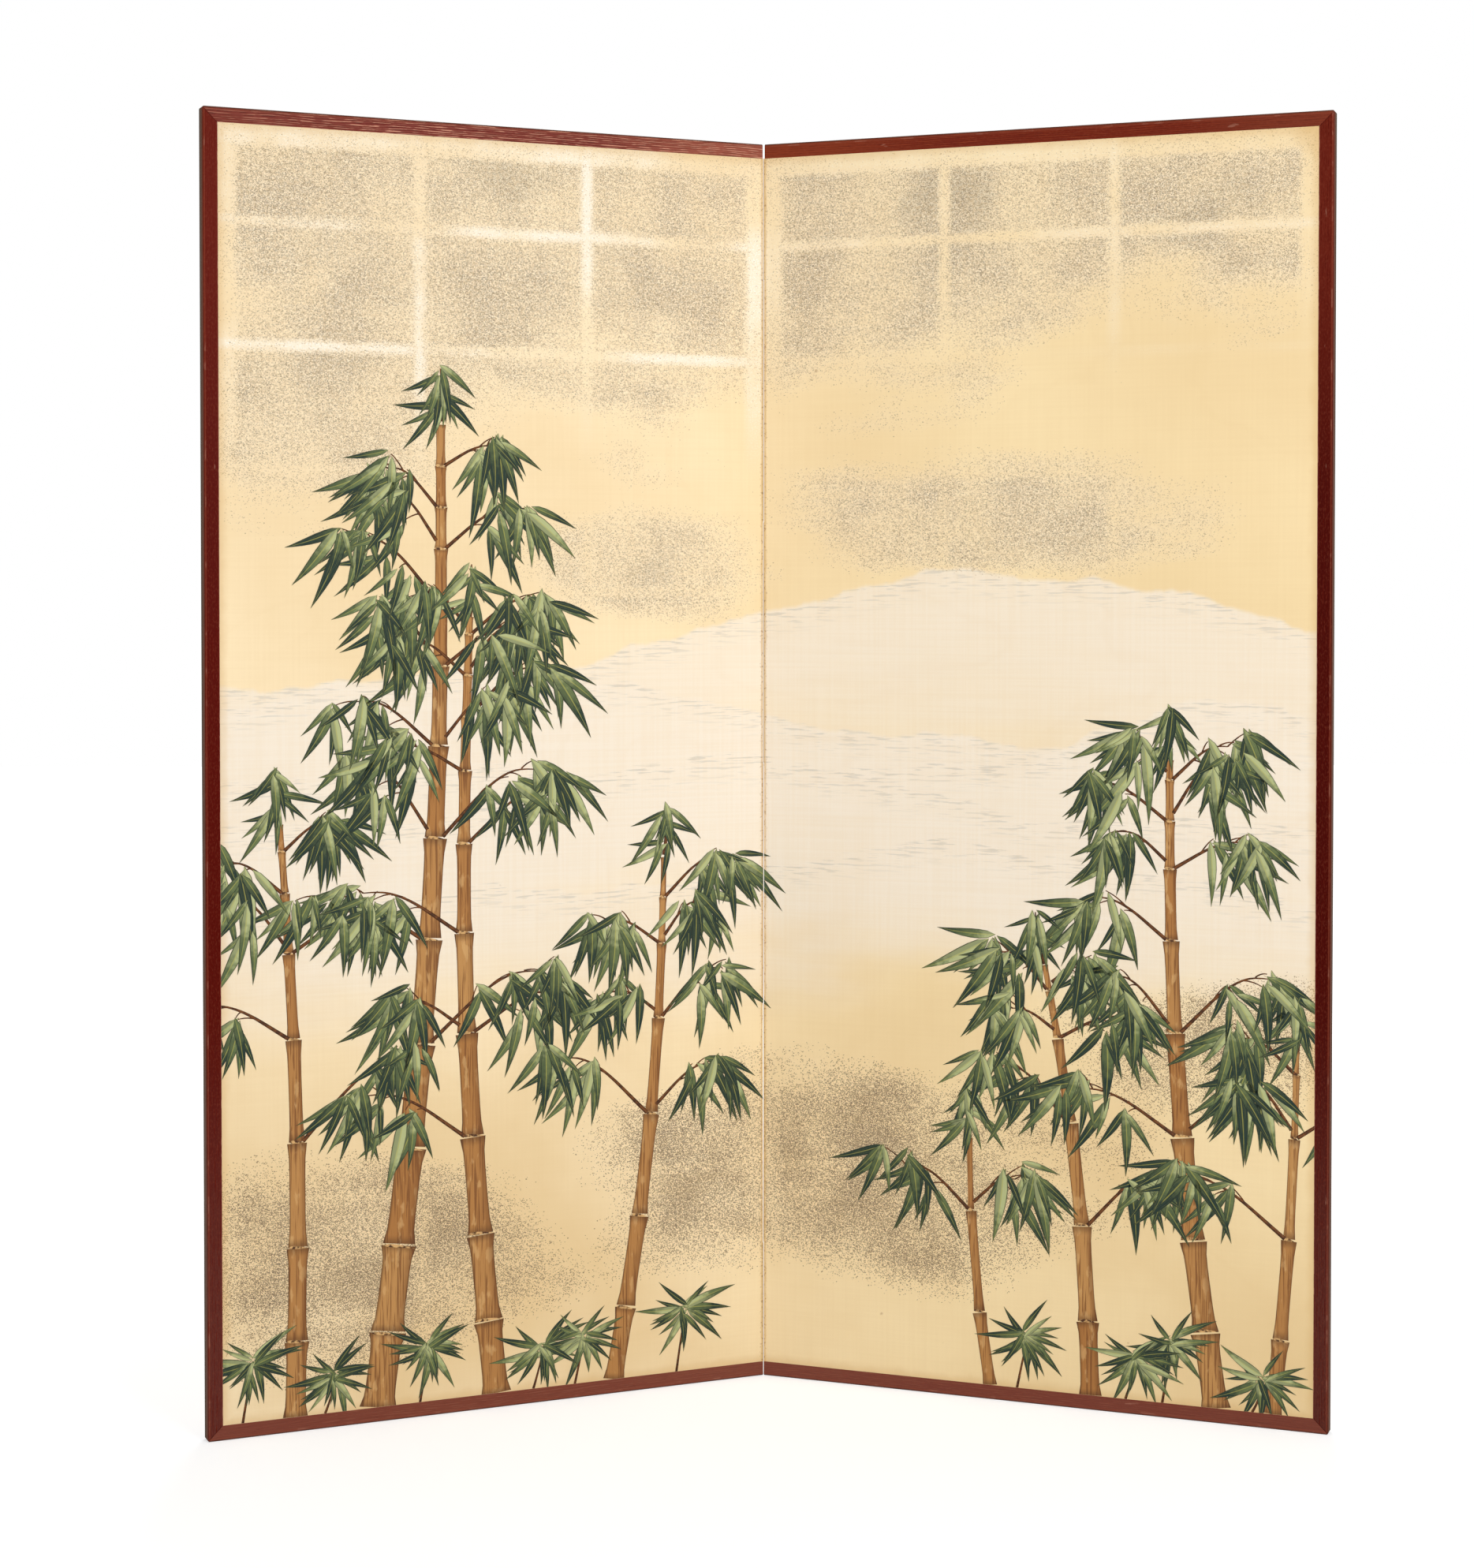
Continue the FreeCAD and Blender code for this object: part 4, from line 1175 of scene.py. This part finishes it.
def add_stem(foot_x, top_x, top_z, width, bow, first_ring):
    """A stem, length by length, with its rings, its twigs and the fans at its tip."""
    z, ring = picture_bottom, 0

    def line_x(level):
        share = (level - picture_bottom) / (top_z - picture_bottom)
        return foot_x + (top_x - foot_x) * share + bow * math.sin(math.pi * share)

    side = chance.choice((-1, 1))
    while z < top_z - SHORTEST_LAST:
        share = (z - picture_bottom) / (top_z - picture_bottom)
        fullest = math.sin(math.pi * min(1, 0.15 + share)) ** 0.8
        length = min(SHORTEST + LENGTH_GAIN * fullest, top_z - z)
        x, next_x = line_x(z), line_x(z + length)
        here = width * (1 - STEM_TAPER * share)
        turn = math.atan2(next_x - x, length)
        stem_places.append((flat_place(x, z, STEM_DEPTH, turn, here, length * STEM_GAP), chance.random()))
        if ring:
            lying = flat_place(x - RING_LONG / 2 * here, z, RING_DEPTH, math.pi / 2 + turn, RING_HEIGHT,
                               RING_LONG * here)
            ring_places.append((lying, chance.random()))
        if ring >= first_ring:
            # A ring near the top carries shorter twigs.
            reach = (TWIG_REACH - REACH_LOSS * share) * chance.uniform(*REACH_CHANCES)
            off_middle = side * here * 0.4
            add_twig(x + off_middle, z, side, reach, reach * chance.uniform(*CLIMB_SHARES))
            if chance.random() < 0.5:
                climb = reach * chance.uniform(*LESSER_CLIMB_SHARES)
                add_twig(x - off_middle, z + LESSER_RISE, -side, LESSER_TWIG * reach, climb)
            side = -side
        z, ring = z + length, ring + 1
    tip = top_z + TIP_RISE
    last = [(line_x(top_z), top_z), (line_x(tip) + TIP_BEND, (top_z + tip) / 2), (line_x(tip), tip)]
    twigs.append((last, TIP_THICK, TIP_THIN))
    for lean, drop in TIP_FANS:
        add_fan(line_x(tip), tip - drop, lean, 4, 0.8)


for values in STEMS:
    add_stem(*values)
print("lengths of stem:", len(stem_places), "twigs:", len(twigs), "leaves:", len(leaf_places))

# %% Young sprays along the ground
SPRAYS = (-0.73, -0.62, -0.49, -0.33, -0.27, -0.12, 0.38, 0.53, 0.58, 0.70)
SPRAY_HEIGHTS, SPRAY_THICK, SPRAY_THIN = (0.03, 0.075), 0.0018, 0.0009
SPRAY_LEANS, SPRAY_SIZE, SPRAY_LEAVES = (-1.5, -0.4, 0.8, 1.9), 0.72, 5
STALK_FOOT, STALK_BEND, STALK_BEND_DOWN, FAN_RISE = -0.012, -0.004, 0.02, 0.012
for x in SPRAYS:
    head = picture_bottom + chance.uniform(*SPRAY_HEIGHTS)
    stalk = [(x + STALK_FOOT, picture_bottom), (x + STALK_BEND, head - STALK_BEND_DOWN), (x, head)]
    twigs.append((stalk, SPRAY_THICK, SPRAY_THIN))
    for lean in SPRAY_LEANS:
        add_fan(x, head + FAN_RISE, lean, SPRAY_LEAVES, SPRAY_SIZE)
print("sprays:", len(SPRAYS), "leaves now:", len(leaf_places))

# %% The painted pieces, still flat
TWIG_FLATNESS = 0.008


def draw_twigs(name):
    """All twigs as one curve whose thickness tapers, made a mesh and pressed flat."""
    curve = bpy.data.curves.new(name, "CURVE")
    curve.dimensions, curve.resolution_u = "3D", 3
    curve.bevel_depth, curve.bevel_resolution, curve.use_fill_caps = 1.0, 0, True
    for points, thick, thin in twigs:
        spline = curve.splines.new("NURBS")
        spline.points.add(len(points) - 1)
        for number, (x, z) in enumerate(points):
            spline.points[number].co = (x, 0, z, 1)
            spline.points[number].radius = thick + (thin - thick) * number / (len(points) - 1)
        spline.order_u, spline.use_endpoint_u = 3, True
    drawn = link(name, curve)
    take(drawn)
    bpy.ops.object.convert(target="MESH")
    bpy.ops.object.mode_set(mode="EDIT")
    bpy.ops.mesh.select_all(action="SELECT")
    bpy.ops.transform.resize(value=(1, TWIG_FLATNESS, 1), center_override=(0, 0, 0))
    bpy.ops.transform.translate(value=(0, paint_y(TWIG_DEPTH), 0))
    bpy.ops.mesh.normals_make_consistent(inside=False)
    bpy.ops.object.mode_set(mode="OBJECT")
    flat_uv(drawn, "shape")
    set_tone(drawn.data, 0.5)
    return drawn


painted = {"stems": copies(stem, stem_places, "stems"), "rings": copies(leaf, ring_places, "rings"),
           "twigs": draw_twigs("twigs"), "leaves": copies(leaf, leaf_places, "leaves")}
for prototype in (leaf, stem):
    bpy.data.objects.remove(prototype)
print({name: len(piece.data.polygons) for name, piece in painted.items()})

# %% [markdown]
# ## Cut at the fold and under the frame
# The grove was painted across both panels before the screen was folded, and it runs on under the frame.
# Leaves could be left off where they would stick out, but a painter doesn't stop short of the frame. So each
# painted piece is copied for each panel and bisected at that panel's own edges, which leaves clean closed
# shapes.

# %% Cutting the painting to the panels
FRAME_CLEARANCE = 0.0002


def cut(piece, point, outward):
    """Removes what lies beyond a plane and closes the cut."""
    take(piece)
    bpy.ops.object.mode_set(mode="EDIT")
    bpy.ops.mesh.select_all(action="SELECT")
    bpy.ops.mesh.bisect(plane_co=point, plane_no=outward, use_fill=True, clear_outer=True, clear_inner=False)
    bpy.ops.object.mode_set(mode="OBJECT")


def on_panel(piece, side):
    """The part of a painted piece that falls on one panel, or None."""
    sign = -1 if side == "left" else 1
    part = link(f"{side}_painted_{piece.name}", piece.data.copy())
    cut(part, (sign * silk_low.x, 0, picture_middle), (-sign, 0, 0))
    cut(part, (sign * (picture_right - FRAME_CLEARANCE), 0, picture_middle), (sign, 0, 0))
    cut(part, (0, 0, picture_bottom + FRAME_CLEARANCE), (0, 0, -1))
    cut(part, (0, 0, picture_top - FRAME_CLEARANCE), (0, 0, 1))
    if not part.data.polygons:
        bpy.data.objects.remove(part)
        return None
    flat_uv(part)
    stand_up(part, side)
    return part


panels = {}
for kind, piece in painted.items():
    for side in TURN:
        part = on_panel(piece, side)
        if part:
            panels[kind, side] = part
    bpy.data.objects.remove(piece)
print("painted pieces on the panels:", len(panels))

# %% [markdown]
# ## Mineral paint
# Leaves are painted with a pale green that is shaded towards blue-green on one side of the rib, veined and
# outlined with a dry dark brush. Stems are ochre, rounded with umber at their edges, and streaked along their
# length. Each leaf could have a material of its own, but one paint reads the leaf's own across and along and
# its one number of tone, so that no two copies look the same.

# %% Mineral colours
LEAF_PALE, LEAF_MIDDLE, LEAF_DARK = srgb(180, 186, 134), srgb(98, 112, 72), srgb(26, 46, 40)
LEAF_GOLD, INK_GREEN = srgb(174, 168, 84), srgb(26, 34, 26)
STEM_OCHRE, STEM_TAN, STEM_LIGHT = srgb(168, 114, 60), srgb(190, 140, 82), srgb(214, 170, 112)
STEM_UMBER, STEM_DARK = srgb(116, 70, 36), srgb(74, 44, 26)


def new_paint(name):
    """A matt paint, with the place on the picture, across (-1 to 1) and along (0 to 1) a shape, and tone."""
    material, graph, surface = new_material(name, Roughness=0.7, Specular_IOR_Level=0.25)
    axes = graph.axes(uv_place(graph, "shape"))
    tone = graph.node("Attribute", attribute_name="tone").outputs["Fac"]
    return material, graph, surface, uv_place(graph, "flat"), graph.times(axes[0], 2), axes[1], tone


print("green in the leaf tones:", [round(tone[1], 3) for tone in (LEAF_PALE, LEAF_MIDDLE, LEAF_DARK)])


# %% Leaf paint and stem paint
def leaf_paint():
    """Green from pale to nearly blue, with a golden rib and veins in a dark outline."""
    material, graph, surface, place, across, along, tone = new_paint("leaf paint")
    brushed = graph.waver(place, 120, 3, 0.25)
    shade = graph.plus(graph.math("MULTIPLY_ADD", along, -0.9, tone), brushed)
    off_rib = graph.math("ABSOLUTE", across)
    veins = graph.patches(graph.point(graph.times(across, 9), along), 1.6, 2, 0.56, 0.66)
    outline = graph.most(graph.step(off_rib, 0.78, 0.93), graph.step(along, 0.93, 0.99))
    colour = graph.coats(
        LEAF_MIDDLE,
        (LEAF_DARK, graph.step(shade, 0.22, -0.20), 1.0),
        (LEAF_PALE, graph.step(shade, 0.22, 0.54), 1.0),
        (LEAF_DARK, graph.step(across, -0.05, 0.25), 0.4),
        (LEAF_GOLD, veins, 0.35),
        (LEAF_GOLD, graph.step(off_rib, 0.14, 0.05), 0.55),
        (INK_GREEN, outline, 0.8),
    )
    graph.give(surface, Base_Color=colour)
    return material


def stem_paint():
    """Ochre, streaked, and darker towards its edges and its rings."""
    material, graph, surface, place, across, along, tone = new_paint("stem paint")
    streaks = graph.step(graph.noise(graph.stretch(place, 420, 12, 1), 1.0, 4, 0.6), 0.50, 0.60)
    blotches = graph.patches(graph.stretch(place, 90, 30, 1), 1.0, 4, 0.55, 0.65)
    colour = graph.coats(
        STEM_OCHRE,
        (STEM_TAN, tone, 1.0),
        (STEM_UMBER, streaks, 0.75),
        (STEM_LIGHT, blotches, 0.55),
        (STEM_UMBER, graph.step(across, 0.2, 1.0), 0.6),
        (STEM_DARK, graph.step(across, -0.75, -1.0), 0.7),
        (STEM_DARK, graph.step(across, 0.86, 1.0), 0.7),
        (STEM_DARK, graph.most(graph.step(along, 0.10, 0.0), graph.step(along, 0.90, 1.0)), 0.55),
    )
    graph.give(surface, Base_Color=colour)
    return material


PAINTS = {"leaves": leaf_paint(), "stems": stem_paint()}
print("nodes in a paint:", {kind: len(paint.node_tree.nodes) for kind, paint in PAINTS.items()})


# %% Ink, and which paint goes where
def dry_ink(name, first, second):
    """Two tones in patches, as a dry brush leaves them."""
    material, graph, surface, place = new_paint(name)[:4]
    graph.give(surface, Base_Color=graph.mix(graph.patches(place, 160, 3, 0.4, 0.6), first, second))
    return material


PAINTS["rings"] = dry_ink("ring ink", STEM_DARK, STEM_LIGHT)
PAINTS["twigs"] = dry_ink("twig ink", STEM_UMBER, STEM_DARK)
for (kind, side), piece in panels.items():
    piece.data.materials.clear()
    piece.data.materials.append(PAINTS[kind])
print("paints:", [paint.name for paint in PAINTS.values()])

# %% [markdown]
# ## A plain studio
# The screen stands on a pale floor in soft light. A photographer would light it with two large soft boxes, a
# brighter one from the right, which favours the left panel, and a third one behind it for the back. The
# ground and the sky are white only to the camera, so they don't wash out the lacquer, and the floor keeps the
# screen's own shadow.

# %% Floor and sky
FLOOR_HALF, FLOOR_TONE = 14.0, 0.62
GLOW_NEAR, GLOW_FAR = 0.54, 1.0
NEAR, FAR = 0.8, 2.2
SKY_LIGHT = 0.42
WHITE = (1, 1, 1, 1)


def white_to_the_eye(graph):
    """1 for rays from the camera and for rays in a reflection or through glass."""
    seen = graph.node("LightPath").outputs
    first = graph.most(seen["Is Camera Ray"], seen["Is Glossy Ray"])
    return graph.most(first, seen["Is Transmission Ray"])


start_clean()
bpy.ops.mesh.primitive_plane_add(size=2 * FLOOR_HALF, location=(0, 0, 0))
floor = bpy.context.object
floor.name = "floor"
pale, graph, surface = new_material("pale floor", Roughness=0.9, Specular_IOR_Level=0.0,
                                    Base_Color=(FLOOR_TONE, FLOOR_TONE, FLOOR_TONE, 1), Emission_Color=WHITE)
from_middle = graph.node("VectorMath", {0: object_place(graph)}, operation="LENGTH").outputs["Value"]
shine_back = graph.ramp(graph.step(from_middle, NEAR, FAR), GLOW_NEAR, GLOW_FAR)
graph.give(surface, Emission_Strength=graph.times(white_to_the_eye(graph), shine_back))
floor.data.materials.append(pale)

world = bpy.data.worlds.new("studio")
world.use_nodes = True
bpy.context.scene.world = world
sky = Graph(world.node_tree)
sky.give(world.node_tree.nodes["Background"].inputs, Color=WHITE,
         Strength=sky.ramp(white_to_the_eye(sky), SKY_LIGHT, 1.0))
print("the floor runs", FLOOR_HALF, "m each way")

# %% Lamps
LAMPS = (
    # Name, place, what it is aimed at, width, height, watts.
    ("key", (2.4, -3.4, 2.3), (-0.3, 0, 0.9), 2.4, 2.4, 105),
    ("fill", (-2.8, -3.2, 1.6), (0.3, 0, 0.9), 2.4, 2.4, 50),
    ("back", (0.4, 3.4, 2.6), (0, 0, 0.9), 2.4, 2.0, 85),
)
for name, place, aim, width, height, watts in LAMPS:
    lamp = bpy.data.lights.new(name, "AREA")
    lamp.shape = "RECTANGLE"
    lamp.size, lamp.size_y, lamp.energy = width, height, watts
    holder = link(name, lamp)
    holder.location = place
    holder.rotation_euler = (Vector(aim) - Vector(place)).to_track_quat("-Z", "Y").to_euler()
print("lamps:", [lamp[0] for lamp in LAMPS])

# %% [markdown]
# ## The camera
# The photograph was taken from a little over half the screen's height, almost level, with the lens shifted
# down so that the uprights stay upright. Its place could be set by eye, but it comes from the corners of the
# frame: how far they spread gives the distance, and how the rails converge gives the height of the lens.

# %% Camera
CAMERA_PLACE = (-0.1233, -3.7678, 1.1013)
CAMERA_TURN, CAMERA_DIP = math.radians(-1.263), math.radians(1.340)
LENS, SENSOR, SHIFT_DOWN = 64.12, 36.0, -0.08
view = bpy.data.cameras.new("camera")
view.lens, view.sensor_width, view.shift_y = LENS, SENSOR, SHIFT_DOWN
camera = link("camera", view)
camera.location = CAMERA_PLACE
camera.rotation_euler = (math.pi / 2 - CAMERA_DIP, 0, CAMERA_TURN)
bpy.context.scene.camera = camera
bpy.context.scene.view_settings.view_transform = "Standard"
print("lens:", LENS, "mm, at", CAMERA_PLACE)

# %% The end
start_clean()
